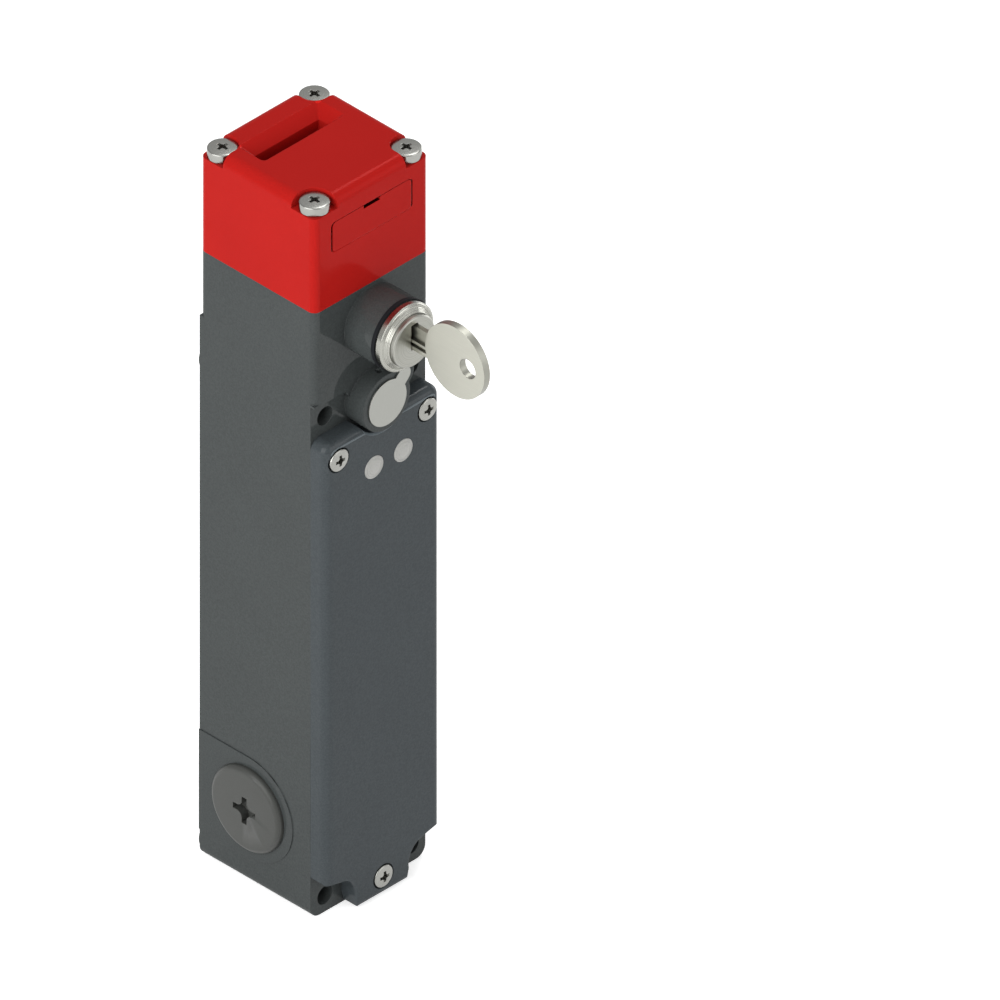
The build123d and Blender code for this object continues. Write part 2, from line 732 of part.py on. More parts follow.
with BuildPart() as cover:
    with BuildSketch(front_plane(seat_y)):
        with Locations((0, cover_top_z / 2)):
            Rectangle(case_width, cover_top_z)
        for side in (-1, 1):
            with Locations((side * fixing_pitch_x / 2, lower_fixing_z)):
                Circle(tab_notch_radius, mode=Mode.SUBTRACT)
                Polygon(
                    (-side * tab_notch_radius * flare_x, -tab_notch_radius * flare_z),
                    (
                        -side * (tab_notch_radius * flare_x + flare_reach * flare_z),
                        -tab_notch_radius * flare_z - flare_reach * flare_x,
                    ),
                    (side * flare_reach, -flare_reach),
                    (
                        side * (flare_reach * flare_x - tab_notch_radius * flare_z),
                        tab_notch_radius * flare_x + flare_reach * flare_z,
                    ),
                    (-side * tab_notch_radius * flare_z, tab_notch_radius * flare_x),
                    align=None,
                    mode=Mode.SUBTRACT,
                )
        fillet(vertices().group_by(Axis.Y)[-1], cover_top_radius)
        fillet(vertices().group_by(Axis.Y)[0], tab_corner_radius)
        above_holes = vertices().filter_by_position(Axis.Y, lower_fixing_z, case_width)
        fillet(above_holes.group_by(Axis.X)[0].sort_by(Axis.Y)[0], cover_foot_radius)
        above_holes = vertices().filter_by_position(Axis.Y, lower_fixing_z, case_width)
        fillet(above_holes.group_by(Axis.X)[-1].sort_by(Axis.Y)[0], cover_foot_radius)
    extrude(amount=cover_thickness)
    fillet(faces().sort_by(Axis.Y)[0].edges(), tab_edge_radius)
    add(cover_blank.part, mode=Mode.INTERSECT)
    with BuildSketch(front_plane(seat_y)):
        with Locations((0, release_z)):
            Circle(release_boss_radius + dip_gap)
    extrude(amount=cover_thickness, mode=Mode.SUBTRACT)
    with BuildSketch(front_plane(cover_front_y)):
        with Locations((0, release_z)):
            Circle(release_boss_radius + dip_gap + dip_chamfer)
    extrude(amount=-dip_chamfer, taper=45, mode=Mode.SUBTRACT)

    # Inner recess and the gasket's groove
    with BuildSketch(front_plane(seat_y)):
        with Locations((0, (base_wall + chamber_top_z) / 2)):
            RectangleRounded(
                case_width - 2 * cover_recess_side,
                chamber_top_z - base_wall - 2 * cover_recess_end,
                chamber_corner_radius,
            )
    extrude(amount=cover_recess_depth, mode=Mode.SUBTRACT)
    with BuildSketch(front_plane(seat_y)):
        with Locations((0, (gasket_low_z + gasket_high_z) / 2)):
            RectangleRounded(2 * gasket_half_x, gasket_high_z - gasket_low_z, 2)
            RectangleRounded(
                2 * (gasket_half_x - gasket_width), gasket_high_z - gasket_low_z - 2 * gasket_width, 1, mode=Mode.SUBTRACT
            )
    extrude(amount=gasket_depth, mode=Mode.SUBTRACT)

    # Two posts that carry the indicator board
    with BuildSketch(front_plane(seat_y - cover_recess_depth)):
        with Locations(*board_posts):
            Circle(board_post_radius)
    extrude(amount=-led_height)
    with BuildSketch(front_plane(lamp_back_y)):
        with Locations(*board_posts):
            Circle(board_pin_radius)
    extrude(amount=-board_thickness - board_pin_proud)

    # Screw counterbores and the lens holes
    counterbore_y = cover_front_y + cover_screw_rim + cover_screw_dome - cover_screw_proud
    with BuildSketch(front_plane(cover_front_y)):
        with Locations(*cover_screw_seats):
            Circle(cover_screw_radius + counterbore_gap)
    extrude(amount=cover_front_y - counterbore_y, mode=Mode.SUBTRACT)
    with BuildSketch(front_plane(cover_front_y)):
        with Locations(*cover_screw_seats):
            Circle(m4_radius + screw_hole_gap)
    extrude(amount=-cover_thickness, mode=Mode.SUBTRACT)
    with BuildSketch(front_plane(cover_front_y)):
        with Locations((lens_left_x, lens_z), (lens_right_x, lens_z)):
            Circle(lens_radius + lens_gap)
    extrude(amount=-cover_thickness, mode=Mode.SUBTRACT)
save(cover.part, "cover")

with BuildPart() as cover_gasket:
    with BuildSketch(front_plane(seat_y)):
        with Locations((0, (gasket_low_z + gasket_high_z) / 2)):
            RectangleRounded(2 * gasket_half_x, gasket_high_z - gasket_low_z, 2)
            RectangleRounded(
                2 * (gasket_half_x - gasket_width), gasket_high_z - gasket_low_z - 2 * gasket_width, 1, mode=Mode.SUBTRACT
            )
    extrude(amount=gasket_depth)
save(cover_gasket.part, "cover_gasket")

cover_screw = cross_screw(
    cover_screw_radius, cover_screw_rim, cover_screw_dome, m4_radius, seat_y - counterbore_y + cover_screw_grip
)
with BuildPart() as cover_screws:
    with Locations(*[facing_front(x, counterbore_y, z) for x, z in cover_screw_seats]):
        add(cover_screw)
save(cover_screws.part, "cover_screws")


def indicator_lens(x):
    """A domed lens that fills its hole in the cover and stops at the recess."""
    lens_length = cover_thickness - cover_recess_depth + lens_proud
    with BuildPart() as lens:
        with BuildSketch(Plane.XZ):
            with BuildLine():
                Polyline((0, lens_length + lens_dome), (0, 0), (lens_radius, 0), (lens_radius, lens_length))
                TangentArc((0, lens_length + lens_dome), (lens_radius, lens_length), tangent=(1, 0))
            make_face()
        revolve(axis=Axis.Z)
        with BuildSketch(Plane.XY.offset(lens_length + lens_dome)):
            Circle(lens_groove_radius + lens_groove_width / 2)
            Circle(lens_groove_radius - lens_groove_width / 2, mode=Mode.SUBTRACT)
        extrude(amount=-lens_dome - lens_groove_depth, mode=Mode.SUBTRACT)
    with BuildPart() as placed:
        with Locations(facing_front(x, seat_y - cover_recess_depth, lens_z)):
            add(lens.part)
    return placed.part


save(indicator_lens(lens_left_x), "left_lens")
save(indicator_lens(lens_right_x), "right_lens")

# Indicator board behind the lenses, with its two lamps against them
with BuildPart() as indicator_board:
    with BuildSketch(front_plane(lamp_back_y)):
        with Locations((board_x, board_z)):
            RectangleRounded(board_width, board_height, 1)
        with Locations(*board_posts):
            Circle(board_pin_radius + screw_hole_gap, mode=Mode.SUBTRACT)
    extrude(amount=-board_thickness)
save(indicator_board.part, "indicator_board")

with BuildPart() as indicator_lamps:
    with BuildSketch(front_plane(lamp_back_y)):
        with Locations((lens_left_x, lens_z), (lens_right_x, lens_z)):
            Rectangle(led_size, led_size)
    extrude(amount=led_height)
save(indicator_lamps.part, "indicator_lamps")


def entry_plug(side):
    """A plug for the side entry, with a cross recess in its round head."""
    pad_x = case_width / 2 + entry_pad_height
    seal_outer = entry_radius + plug_shank_gap + plug_seal_width
    with BuildPart() as plug:
        with BuildSketch(side_plane(pad_x)):
            Circle(plug_radius)
        extrude(amount=plug_height)
        fillet(faces().sort_by(Axis.X)[-1].edges(), plug_edge_radius)
        with BuildSketch(side_plane(pad_x)):
            Circle(entry_radius - plug_shank_gap)
        extrude(amount=-plug_shank_length)
        with BuildSketch(side_plane(pad_x - plug_shank_length)):
            Circle(entry_radius - plug_shank_gap - plug_shank_wall)
        extrude(amount=plug_shank_length - plug_shank_wall, mode=Mode.SUBTRACT)
        with BuildSketch(side_plane(pad_x)):
            Circle(seal_outer)
            Circle(entry_radius - plug_shank_gap, mode=Mode.SUBTRACT)
        extrude(amount=plug_seal_thickness, mode=Mode.SUBTRACT)
        with BuildSketch(side_plane(pad_x + plug_height)):
            Rectangle(plug_recess_span, plug_recess_width)
            Rectangle(plug_recess_width, plug_recess_span)
            crossing = vertices().sort_by(lambda corner: corner.center().length)[:4]
            fillet(crossing, plug_recess_corner)
        extrude(amount=-plug_recess_depth, mode=Mode.SUBTRACT)
    with BuildPart() as placed:
        turned = plug.part if side > 0 else plug.part.rotate(Axis.Z, 180)
        with Locations((0, side_entry_y, side_entry_z)):
            add(turned)
    return placed.part


def entry_seal(side):
    """The flat ring under a plug's head."""
    with BuildPart() as seal:
        with BuildSketch(side_plane(side * (case_width / 2 + entry_pad_height))):
            with Locations((side_entry_y, side_entry_z)):
                Circle(entry_radius + plug_shank_gap + plug_seal_width)
                Circle(entry_radius, mode=Mode.SUBTRACT)
        extrude(amount=side * plug_seal_thickness)
    return seal.part


save(entry_plug(-1), "left_entry_plug")
save(entry_plug(1), "right_entry_plug")
save(entry_seal(-1), "left_plug_seal")
save(entry_seal(1), "right_plug_seal")

# Lock: a black ring, a stepped bezel with a long shank, and the barrel that turns in it
with BuildPart() as lock_ring:
    with BuildSketch(front_plane(lock_ring_y)):
        with Locations((0, lock_z)):
            Circle(lock_ring_radius)
            Circle(bezel_shank_radius + running_gap, mode=Mode.SUBTRACT)
    extrude(amount=lock_ring_thickness)
save(lock_ring.part, "lock_ring")

barrel_tail_y = channel_front_y - slider_gap - lock_cam_thickness
clip_y = barrel_tail_y - clip_gap - clip_thickness
bezel_tail_y = clip_y - clip_gap
lock_axis = Axis((0, 0, lock_z), (0, 1, 0))
ledge_y = bezel_back_y - bezel_band - bezel_lip
with BuildPart() as lock_bezel:
    with BuildSketch(Plane.XY.offset(lock_z)):
        with BuildLine():
            band = Polyline(
                (barrel_tail_radius + running_gap, bezel_tail_y),
                (bezel_shank_radius, bezel_tail_y),
                (bezel_shank_radius, bezel_back_y),
                (bezel_radius, bezel_back_y),
                (bezel_radius, bezel_back_y - bezel_band),
            )
            lip = RadiusArc(band @ 1, (bezel_ledge_radius, ledge_y), 1.4)
            Polyline(
                lip @ 1,
                (bezel_ledge_radius - 0.12, ledge_y + 0.12),
                ((bezel_ledge_radius + bezel_face_radius) / 2, ledge_y - bezel_face_rise / 2),
                ((bezel_ledge_radius + bezel_face_radius) / 2 - 0.12, ledge_y - bezel_face_rise / 2 + 0.12),
                (bezel_face_radius, bezel_front_y),
                (barrel_radius + running_gap, bezel_front_y),
                (barrel_radius + running_gap, barrel_step_y + running_gap),
                (barrel_tail_radius + running_gap, barrel_step_y + running_gap),
                band @ 0,
            )
        make_face()
    revolve(axis=lock_axis)
save(lock_bezel.part, "lock_bezel")

with BuildPart() as lock_barrel:
    with BuildSketch(Plane.XY.offset(lock_z)):
        with BuildLine():
            Polyline(
                (0, barrel_front_y),
                (0, barrel_tail_y),
                (barrel_tail_radius, barrel_tail_y),
                (barrel_tail_radius, clip_y + clip_thickness),
                (clip_groove_radius, clip_y + clip_thickness),
                (clip_groove_radius, clip_y),
                (barrel_tail_radius, clip_y),
                (barrel_tail_radius, barrel_step_y),
                (barrel_radius, barrel_step_y),
                (barrel_radius, barrel_front_y + barrel_edge_radius),
                (barrel_radius - barrel_edge_radius, barrel_front_y),
                (0, barrel_front_y),
            )
        make_face()
    revolve(axis=lock_axis)
    with BuildSketch(front_plane(barrel_front_y)):
        with Locations((0, lock_z + (key_slot_top - key_slot_bottom) / 2)):
            Rectangle(2 * key_slot_half, key_slot_top + key_slot_bottom)
    extrude(amount=-key_blade_length - 1, mode=Mode.SUBTRACT)
save(lock_barrel.part, "lock_barrel")

# Clip: a spring ring with a gap at its foot
with BuildPart() as lock_clip:
    with BuildSketch(front_plane(clip_y)):
        with Locations((0, lock_z)):
            Circle(clip_radius)
            Circle(clip_groove_radius, mode=Mode.SUBTRACT)
            with Locations((0, -clip_radius)):
                Rectangle(clip_groove_radius, clip_radius, mode=Mode.SUBTRACT)
    extrude(amount=-clip_thickness)
save(lock_clip.part, "lock_clip")

slider_front_y = channel_front_y + slider_gap
slider_back_y = slider_front_y + slider_thickness
with BuildPart() as lock_cam:
    with BuildSketch(front_plane(barrel_tail_y)):
        with Locations((0, lock_z)):
            Circle(lock_cam_radius)
    extrude(amount=-lock_cam_thickness)
    with BuildSketch(front_plane(barrel_tail_y)):
        with Locations((0, lock_z + eccentric_throw)):
            Circle(lock_pin_radius)
    extrude(amount=barrel_tail_y - slider_back_y - pin_proud)
save(lock_cam.part, "lock_cam")

# Key: a milled blade with cuts along its edge, and a round bow with a ring hole
bow_y = barrel_front_y - key_bow_reach
blade_tip_y = barrel_front_y + key_blade_length
half_key = key_thickness / 2
with BuildPart() as lock_key:
    with BuildSketch(front_plane(bow_y)):
        with Locations((0, lock_z)):
            Polygon(
                (half_key, -key_blade_bottom),
                (half_key, key_blade_top),
                (-half_key + key_ledge_drop, key_blade_top),
                (-half_key + key_ledge_drop, key_ledge_top),
                (-half_key, key_ledge_top),
                (-half_key, key_ledge_bottom),
                (-half_key + key_ledge_drop, key_ledge_bottom),
                (-half_key + key_ledge_drop, key_groove_bottom),
                (-half_key, key_groove_bottom),
                (-half_key, -key_blade_bottom),
                align=None,
            )
    extrude(amount=bow_y - blade_tip_y)
    for cut in range(key_cuts):
        with BuildSketch(side_plane(-half_key)):
            with Locations((blade_tip_y - (cut + 1) * key_cut_pitch, lock_z + key_blade_top)):
                Polygon(
                    (-key_cut_pitch / 3, 0),
                    (key_cut_pitch / 3, 0),
                    (0, -key_cut_depth),
                    align=None,
                )
        extrude(amount=key_thickness, mode=Mode.SUBTRACT)
    with BuildSketch(side_plane(-half_key)):
        with Locations((bow_y, lock_z + key_bow_rise)):
            Circle(key_bow_radius)
    extrude(amount=key_thickness)
    with BuildSketch(side_plane(-half_key)):
        with Locations((bow_y - key_hole_reach, lock_z + key_bow_rise)):
            Circle(key_hole_radius)
    extrude(amount=key_thickness, mode=Mode.SUBTRACT)
save(lock_key.part, "lock_key")

# Tool release: a slotted screw with a sealing ring, under the plate that swings aside
release_head_y = release_front_y + release_screw_inset
release_tail_y = channel_front_y - running_gap
with BuildPart() as release_screw:
    with BuildSketch(front_plane(release_head_y)):
        with Locations((0, release_z)):
            Circle(release_screw_radius)
    extrude(amount=release_head_y - release_tail_y)
    with BuildSketch(front_plane(release_head_y)):
        with Locations((0, release_z)):
            Rectangle(2 * release_screw_radius, release_slot_width)
    extrude(amount=-release_slot_depth, mode=Mode.SUBTRACT)
    with BuildSketch(front_plane((release_head_y + release_tail_y) / 2)):
        with Locations((0, release_z)):
            Circle(release_screw_radius)
            Circle(release_screw_radius - release_ring_depth, mode=Mode.SUBTRACT)
    extrude(amount=-release_ring_width, mode=Mode.SUBTRACT)
    with BuildSketch(front_plane(release_tail_y)):
        with Locations((0, release_z + eccentric_throw)):
            Circle(release_pin_radius)
    extrude(amount=release_tail_y - slider_back_y - pin_proud)
save(release_screw.part, "release_screw")

with BuildPart() as release_ring:
    with BuildSketch(front_plane((release_head_y + release_tail_y) / 2 + running_gap)):
        with Locations((0, release_z)):
            Circle(release_screw_radius)
            Circle(release_screw_radius - release_ring_depth, mode=Mode.SUBTRACT)
    extrude(amount=-release_ring_width + 2 * running_gap)
save(release_ring.part, "release_ring")

with BuildPart() as seal_plate:
    with BuildSketch(front_plane(release_front_y - plate_gap)):
        with Locations((0, release_z)):
            Circle(release_disc_radius - running_gap)
        with Locations((plate_pivot_offset, release_z + plate_pivot_offset)):
            Circle(plate_neck_radius)
        with Locations(Location((plate_pivot_offset / 2, release_z + plate_pivot_offset / 2, 0), (0, 0, 45))):
            Rectangle(plate_pivot_offset * 2**0.5, 2 * plate_neck_radius)
    extrude(amount=plate_thickness)
    with BuildSketch(front_plane(release_front_y - plate_gap)):
        with Locations((plate_pivot_offset, release_z + plate_pivot_offset)):
            Circle(plate_stud_radius)
    extrude(amount=-plate_stud_length)
save(seal_plate.part, "seal_plate")

# Release slider: a plate with a slot for the lock's pin, a fork for the release pin and a
# forked finger that reaches round the plunger above its collar
slider_top_z = lock_z + slider_top_reach
slider_bottom_z = release_z - slider_fork_reach
fork_top_z = release_z + eccentric_throw + release_pin_radius + slider_travel + pin_side_gap
fork_half = eccentric_throw + release_pin_radius + pin_side_gap
lock_slot_half = eccentric_throw + lock_pin_radius + pin_side_gap
finger_z = lock_z - slider_finger_drop
finger_half = plunger_radius + pin_slot_gap
with BuildPart() as release_slider:
    with BuildSketch(front_plane(slider_back_y)):
        with Locations((0, (slider_top_z + slider_bottom_z) / 2)):
            Rectangle(2 * (channel_half_x - slider_gap), slider_top_z - slider_bottom_z)
        with Locations((0, lock_z + eccentric_throw)):
            RectangleRounded(2 * lock_slot_half, 2 * (lock_pin_radius + pin_slot_gap), 0.5, mode=Mode.SUBTRACT)
        with Locations((0, (slider_bottom_z + fork_top_z) / 2)):
            Rectangle(2 * fork_half, fork_top_z - slider_bottom_z, mode=Mode.SUBTRACT)
    extrude(amount=slider_thickness)
    with BuildSketch(Plane.XY.offset(finger_z - slider_finger_thickness / 2)):
        with Locations((0, (slider_back_y + slider_finger_reach) / 2)):
            Rectangle(2 * (channel_half_x - slider_gap), slider_finger_reach - slider_back_y)
        with Locations((0, slider_finger_reach / 2)):
            Rectangle(2 * finger_half, slider_finger_reach, mode=Mode.SUBTRACT)
        Circle(finger_half, mode=Mode.SUBTRACT)
    extrude(amount=slider_finger_thickness)
save(release_slider.part, "release_slider")

# Solenoid under the release channel, on the plunger's axis
bobbin_top_z = solenoid_top_z - solenoid_plate
bobbin_bottom_z = solenoid_bottom_z + solenoid_plate
armature_top_z = bobbin_top_z - armature_drop
armature_bottom_z = armature_top_z - armature_length
pole_top_z = bobbin_bottom_z + pole_height
bobbin_bore_radius = armature_radius + armature_gap
with BuildPart() as solenoid_frame:
    with BuildSketch(side_plane(-solenoid_half)):
        with Locations(((chamber_back_y - solenoid_half) / 2, (solenoid_top_z + solenoid_bottom_z) / 2)):
            Rectangle(solenoid_half + chamber_back_y, solenoid_height)
            with Locations((-solenoid_plate / 2, 0)):
                Rectangle(
                    solenoid_half + chamber_back_y - solenoid_plate,
                    solenoid_height - 2 * solenoid_plate,
                    mode=Mode.SUBTRACT,
                )
    extrude(amount=2 * solenoid_half)
    with BuildSketch(Plane.XY.offset(solenoid_top_z)):
        Circle(plunger_radius + armature_gap)
    extrude(amount=-solenoid_plate, mode=Mode.SUBTRACT)
    with BuildSketch(Plane.XY.offset(solenoid_bottom_z)):
        Circle(push_rod_radius + armature_gap)
    extrude(amount=solenoid_plate, mode=Mode.SUBTRACT)
    with BuildSketch(front_plane(chamber_back_y)):
        with Locations(*frame_screw_seats):
            Circle(small_screw_radius + screw_hole_gap)
    extrude(amount=solenoid_plate, mode=Mode.SUBTRACT)
save(solenoid_frame.part, "solenoid_frame")

with BuildPart() as solenoid_bobbin:
    with BuildSketch(Plane.XY.offset(bobbin_bottom_z)):
        Circle(bobbin_radius)
    extrude(amount=bobbin_top_z - bobbin_bottom_z)
    with BuildSketch(Plane.XY.offset(bobbin_bottom_z + bobbin_flange)):
        Circle(bobbin_radius)
        Circle(bobbin_core_radius, mode=Mode.SUBTRACT)
    extrude(amount=bobbin_top_z - bobbin_bottom_z - 2 * bobbin_flange, mode=Mode.SUBTRACT)
    with BuildSketch(Plane.XY.offset(bobbin_bottom_z)):
        Circle(bobbin_bore_radius)
    extrude(amount=bobbin_top_z - bobbin_bottom_z, mode=Mode.SUBTRACT)
save(solenoid_bobbin.part, "solenoid_bobbin")

with BuildPart() as solenoid_coil:
    with BuildSketch(Plane.XY.offset(bobbin_bottom_z + bobbin_flange)):
        Circle(bobbin_radius - coil_inset)
        Circle(bobbin_core_radius, mode=Mode.SUBTRACT)
    extrude(amount=bobbin_top_z - bobbin_bottom_z - 2 * bobbin_flange)
save(solenoid_coil.part, "solenoid_coil")

with BuildPart() as solenoid_pole:
    with BuildSketch(Plane.XY.offset(bobbin_bottom_z)):
        Circle(armature_radius)
        Circle(push_rod_radius + armature_gap, mode=Mode.SUBTRACT)
    extrude(amount=pole_height)
save(solenoid_pole.part, "solenoid_pole")

with BuildPart() as plunger_spring:
    coil_height = armature_bottom_z - pole_top_z - 2 * spring_wire - 2 * running_gap
    with BuildLine():
        coil_path = Helix(
            pitch=coil_height / spring_turns,
            height=coil_height,
            radius=spring_radius,
            center=(0, 0, pole_top_z + spring_wire + running_gap),
        )
    with BuildSketch(Plane(origin=coil_path @ 0, z_dir=coil_path % 0)):
        RegularPolygon(spring_wire, 6)
    sweep(is_frenet=True)
save(plunger_spring.part, "plunger_spring")

# Locking plunger: armature, rod, collar and a domed tip under the drum
plunger_tip_z = drum_z - drum_radius - drum_plunger_gap
neck_z = plunger_tip_z - plunger_neck_length
collar_top_z = finger_z - slider_finger_thickness / 2 - slider_travel - plunger_travel - collar_clearance
contact_top_z = contact_base_z + contact_height
yoke_z = contact_top_z + yoke_lift
with BuildPart() as locking_plunger:
    with BuildSketch(Plane.XZ):
        with BuildLine():
            Polyline(
                (0, plunger_tip_z),
                (0, yoke_z),
                (push_rod_radius, yoke_z),
                (push_rod_radius, armature_bottom_z),
                (armature_radius, armature_bottom_z),
                (armature_radius, armature_top_z),
                (plunger_radius, armature_top_z),
                (plunger_radius, collar_top_z - collar_thickness),
                (collar_radius, collar_top_z - collar_thickness),
                (collar_radius, collar_top_z),
                (plunger_radius, collar_top_z),
                (plunger_radius, neck_z),
                (plunger_neck_radius, neck_z),
                (plunger_neck_radius, plunger_tip_z - plunger_neck_radius),
            )
            RadiusArc(
                (plunger_neck_radius, plunger_tip_z - plunger_neck_radius), (0, plunger_tip_z), -plunger_neck_radius
            )
        make_face()
    revolve(axis=Axis.Z)
save(locking_plunger.part, "locking_plunger")

with BuildPart() as plunger_bush:
    with BuildSketch(Plane.XY.offset(case_top_z - bush_height)):
        with Locations((0, (channel_front_y + channel_back_y) / 2)):
            Rectangle(2 * channel_half_x, channel_back_y - channel_front_y)
        Circle(plunger_radius + running_gap, mode=Mode.SUBTRACT)
    extrude(amount=bush_height)
save(plunger_bush.part, "plunger_bush")

# Contact blocks in the lower chamber, worked by a yoke on the plunger's push rod
contact_back_y = chamber_back_y
contact_front_y = contact_back_y - contact_depth
pin_y = 0
terminal_rows = [
    contact_base_z + contact_height / 2 + (row - (terminal_count - 1) / 2) * terminal_pitch_z
    for row in range(terminal_count)
]


def contact_block(side):
    """One contact block, with a recess for each terminal and a bore for its actuating pin."""
    with BuildPart() as block:
        with BuildSketch(Plane.XY.offset(contact_base_z)):
            with Locations((side * contact_x, (contact_front_y + contact_back_y) / 2)):
                RectangleRounded(contact_width, contact_depth, 0.8)
        extrude(amount=contact_height)
        with BuildSketch(front_plane(contact_front_y)):
            with Locations(*[(side * contact_x, z) for z in terminal_rows]):
                Rectangle(terminal_recess_size, terminal_recess_size)
        extrude(amount=-terminal_recess_depth, mode=Mode.SUBTRACT)
        with BuildSketch(front_plane(contact_front_y + terminal_recess_depth)):
            with Locations(*[(side * contact_x, z) for z in terminal_rows]):
                Circle(terminal_radius / 2 + running_gap)
        extrude(amount=-terminal_recess_depth, mode=Mode.SUBTRACT)
        with BuildSketch(Plane.XY.offset(contact_top_z)):
            with Locations((side * contact_x, pin_y)):
                Circle(contact_pin_radius + armature_gap)
        extrude(amount=-contact_pin_depth - plunger_travel, mode=Mode.SUBTRACT)
        with BuildSketch(front_plane(contact_front_y)):
            with Locations((side * contact_x, contact_base_z + block_screw_rise)):
                Circle(small_screw_radius + screw_hole_gap)
        extrude(amount=-contact_depth, mode=Mode.SUBTRACT)
    return block.part


save(contact_block(-1), "left_contact_block")
save(contact_block(1), "right_contact_block")

with BuildPart() as contact_yoke:
    with BuildSketch(Plane.XY.offset(yoke_z)):
        with Locations((0, pin_y)):
            SlotCenterToCenter(2 * contact_x, 3 * contact_pin_radius)
        Circle(push_rod_radius + 2 * push_rod_radius)
    extrude(amount=-yoke_thickness)
    with BuildSketch(Plane.XY.offset(yoke_z - yoke_thickness)):
        with Locations((-contact_x, pin_y), (contact_x, pin_y)):
            Circle(contact_pin_radius)
    extrude(amount=-contact_pin_depth)
save(contact_yoke.part, "contact_yoke")

clamp_y = contact_front_y + terminal_recess_depth
terminal_screw = slotted_screw(terminal_radius, terminal_head, terminal_radius / 2, terminal_recess_depth)
with BuildPart() as terminal_clamps:
    with BuildSketch(front_plane(clamp_y)):
        with Locations(*[(side * contact_x, z) for side in (-1, 1) for z in terminal_rows]):
            Rectangle(clamp_size, clamp_size)
            Circle(terminal_radius / 2 + running_gap, mode=Mode.SUBTRACT)
    extrude(amount=clamp_thickness)
save(terminal_clamps.part, "terminal_clamps")

with BuildPart() as terminal_screws:
    with Locations(
        *[facing_front(side * contact_x, clamp_y - clamp_thickness, z) for side in (-1, 1) for z in terminal_rows]
    ):
        add(terminal_screw)
save(terminal_screws.part, "terminal_screws")

block_screw = slotted_screw(
    small_screw_head, small_screw_rim, small_screw_radius, contact_depth + small_screw_bite
)
with BuildPart() as block_screws:
    with Locations(*[facing_front(x, contact_front_y, z) for x, z in block_screw_seats]):
        add(block_screw)
save(block_screws.part, "block_screws")

frame_screw = slotted_screw(
    small_screw_head, small_screw_rim, small_screw_radius, solenoid_plate + small_screw_bite
)
with BuildPart() as frame_screws:
    with Locations(*[facing_front(x, chamber_back_y - solenoid_plate, z) for x, z in frame_screw_seats]):
        add(frame_screw)
save(frame_screws.part, "frame_screws")

earth_screw = slotted_screw(earth_screw_radius, earth_screw_rim, m4_radius, back_wall - 1)
with BuildPart() as earth_terminal:
    with Locations(facing_front(0, chamber_back_y, earth_screw_z)):
        add(earth_screw)
save(earth_terminal.part, "earth_terminal")
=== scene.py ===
"""Finishes a guard locking switch: enamelled castings, plated lock and screws, moulded plugs.

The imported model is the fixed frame, and every piece made here lies where its node lies. Lengths
are in metres, +Z runs up the case and the cover, the lock and the key face -Y.
"""

import json
import math

import bmesh
import bpy
from bpy.props import FloatProperty, FloatVectorProperty, IntProperty, PointerProperty
from mathutils import Matrix, Vector

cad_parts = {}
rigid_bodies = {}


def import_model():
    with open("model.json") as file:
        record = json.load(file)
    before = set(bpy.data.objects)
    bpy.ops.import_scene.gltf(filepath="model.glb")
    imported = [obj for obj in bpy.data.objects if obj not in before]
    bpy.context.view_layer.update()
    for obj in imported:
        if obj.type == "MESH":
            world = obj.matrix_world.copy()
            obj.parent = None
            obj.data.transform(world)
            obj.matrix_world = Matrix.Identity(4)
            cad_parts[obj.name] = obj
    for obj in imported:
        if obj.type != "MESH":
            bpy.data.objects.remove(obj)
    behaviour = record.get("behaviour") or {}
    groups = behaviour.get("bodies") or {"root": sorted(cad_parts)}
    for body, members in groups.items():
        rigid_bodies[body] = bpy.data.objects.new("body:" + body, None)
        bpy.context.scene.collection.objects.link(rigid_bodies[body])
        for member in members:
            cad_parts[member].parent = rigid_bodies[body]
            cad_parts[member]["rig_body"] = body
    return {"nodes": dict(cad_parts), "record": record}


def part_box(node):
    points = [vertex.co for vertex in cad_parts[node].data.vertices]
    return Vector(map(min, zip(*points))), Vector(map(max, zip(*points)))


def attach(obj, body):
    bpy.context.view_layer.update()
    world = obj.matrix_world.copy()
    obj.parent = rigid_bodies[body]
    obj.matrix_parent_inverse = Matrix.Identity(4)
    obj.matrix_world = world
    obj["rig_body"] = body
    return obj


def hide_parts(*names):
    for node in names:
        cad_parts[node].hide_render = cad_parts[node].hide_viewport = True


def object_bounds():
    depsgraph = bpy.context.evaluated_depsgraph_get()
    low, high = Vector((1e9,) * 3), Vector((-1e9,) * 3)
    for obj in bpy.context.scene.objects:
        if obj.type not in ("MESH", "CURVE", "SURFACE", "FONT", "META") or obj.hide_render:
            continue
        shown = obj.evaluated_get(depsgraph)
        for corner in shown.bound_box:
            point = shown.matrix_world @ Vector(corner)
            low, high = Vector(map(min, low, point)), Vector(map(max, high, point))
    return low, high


bl_info = {
    "name": "Guard Locking Switch",
    "version": (1, 0, 0),
    "blender": (4, 5, 0),
    "location": "View3D > Sidebar > Switch",
    "description": "Enamel, plate and moulded finishes for a guard locking switch",
    "category": "Object",
}

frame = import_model()
cad_low, cad_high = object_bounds()
MM = 0.001

# Sizes of the solids that their boxes don't give
HEAD_SCREW_RADIUS = 3.9 * MM
COVER_SCREW_RADIUS = 3.25 * MM
NOTCH_RIM_FOOT = cad_high.z - 3.2 * MM
CASE_FRONT_Y = -20.0 * MM
RELEASE_BOSS_RADIUS = 8.15 * MM
KEY_BOW_LENGTH = 19.5 * MM
NEAR = 0.02 * MM

DIP_RADIUS = 9.0 * MM
DIP_FLARE = 0.55 * MM

BRASS = (0.58, 0.42, 0.18)


def node_centre(node):
    """The middle of a node's box."""
    low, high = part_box(node)
    return (low + high) / 2


def within(value, span):
    """Whether a value lies inside a span of two."""
    return span[0] < value < span[1]


# Sizes and colours that a user would change


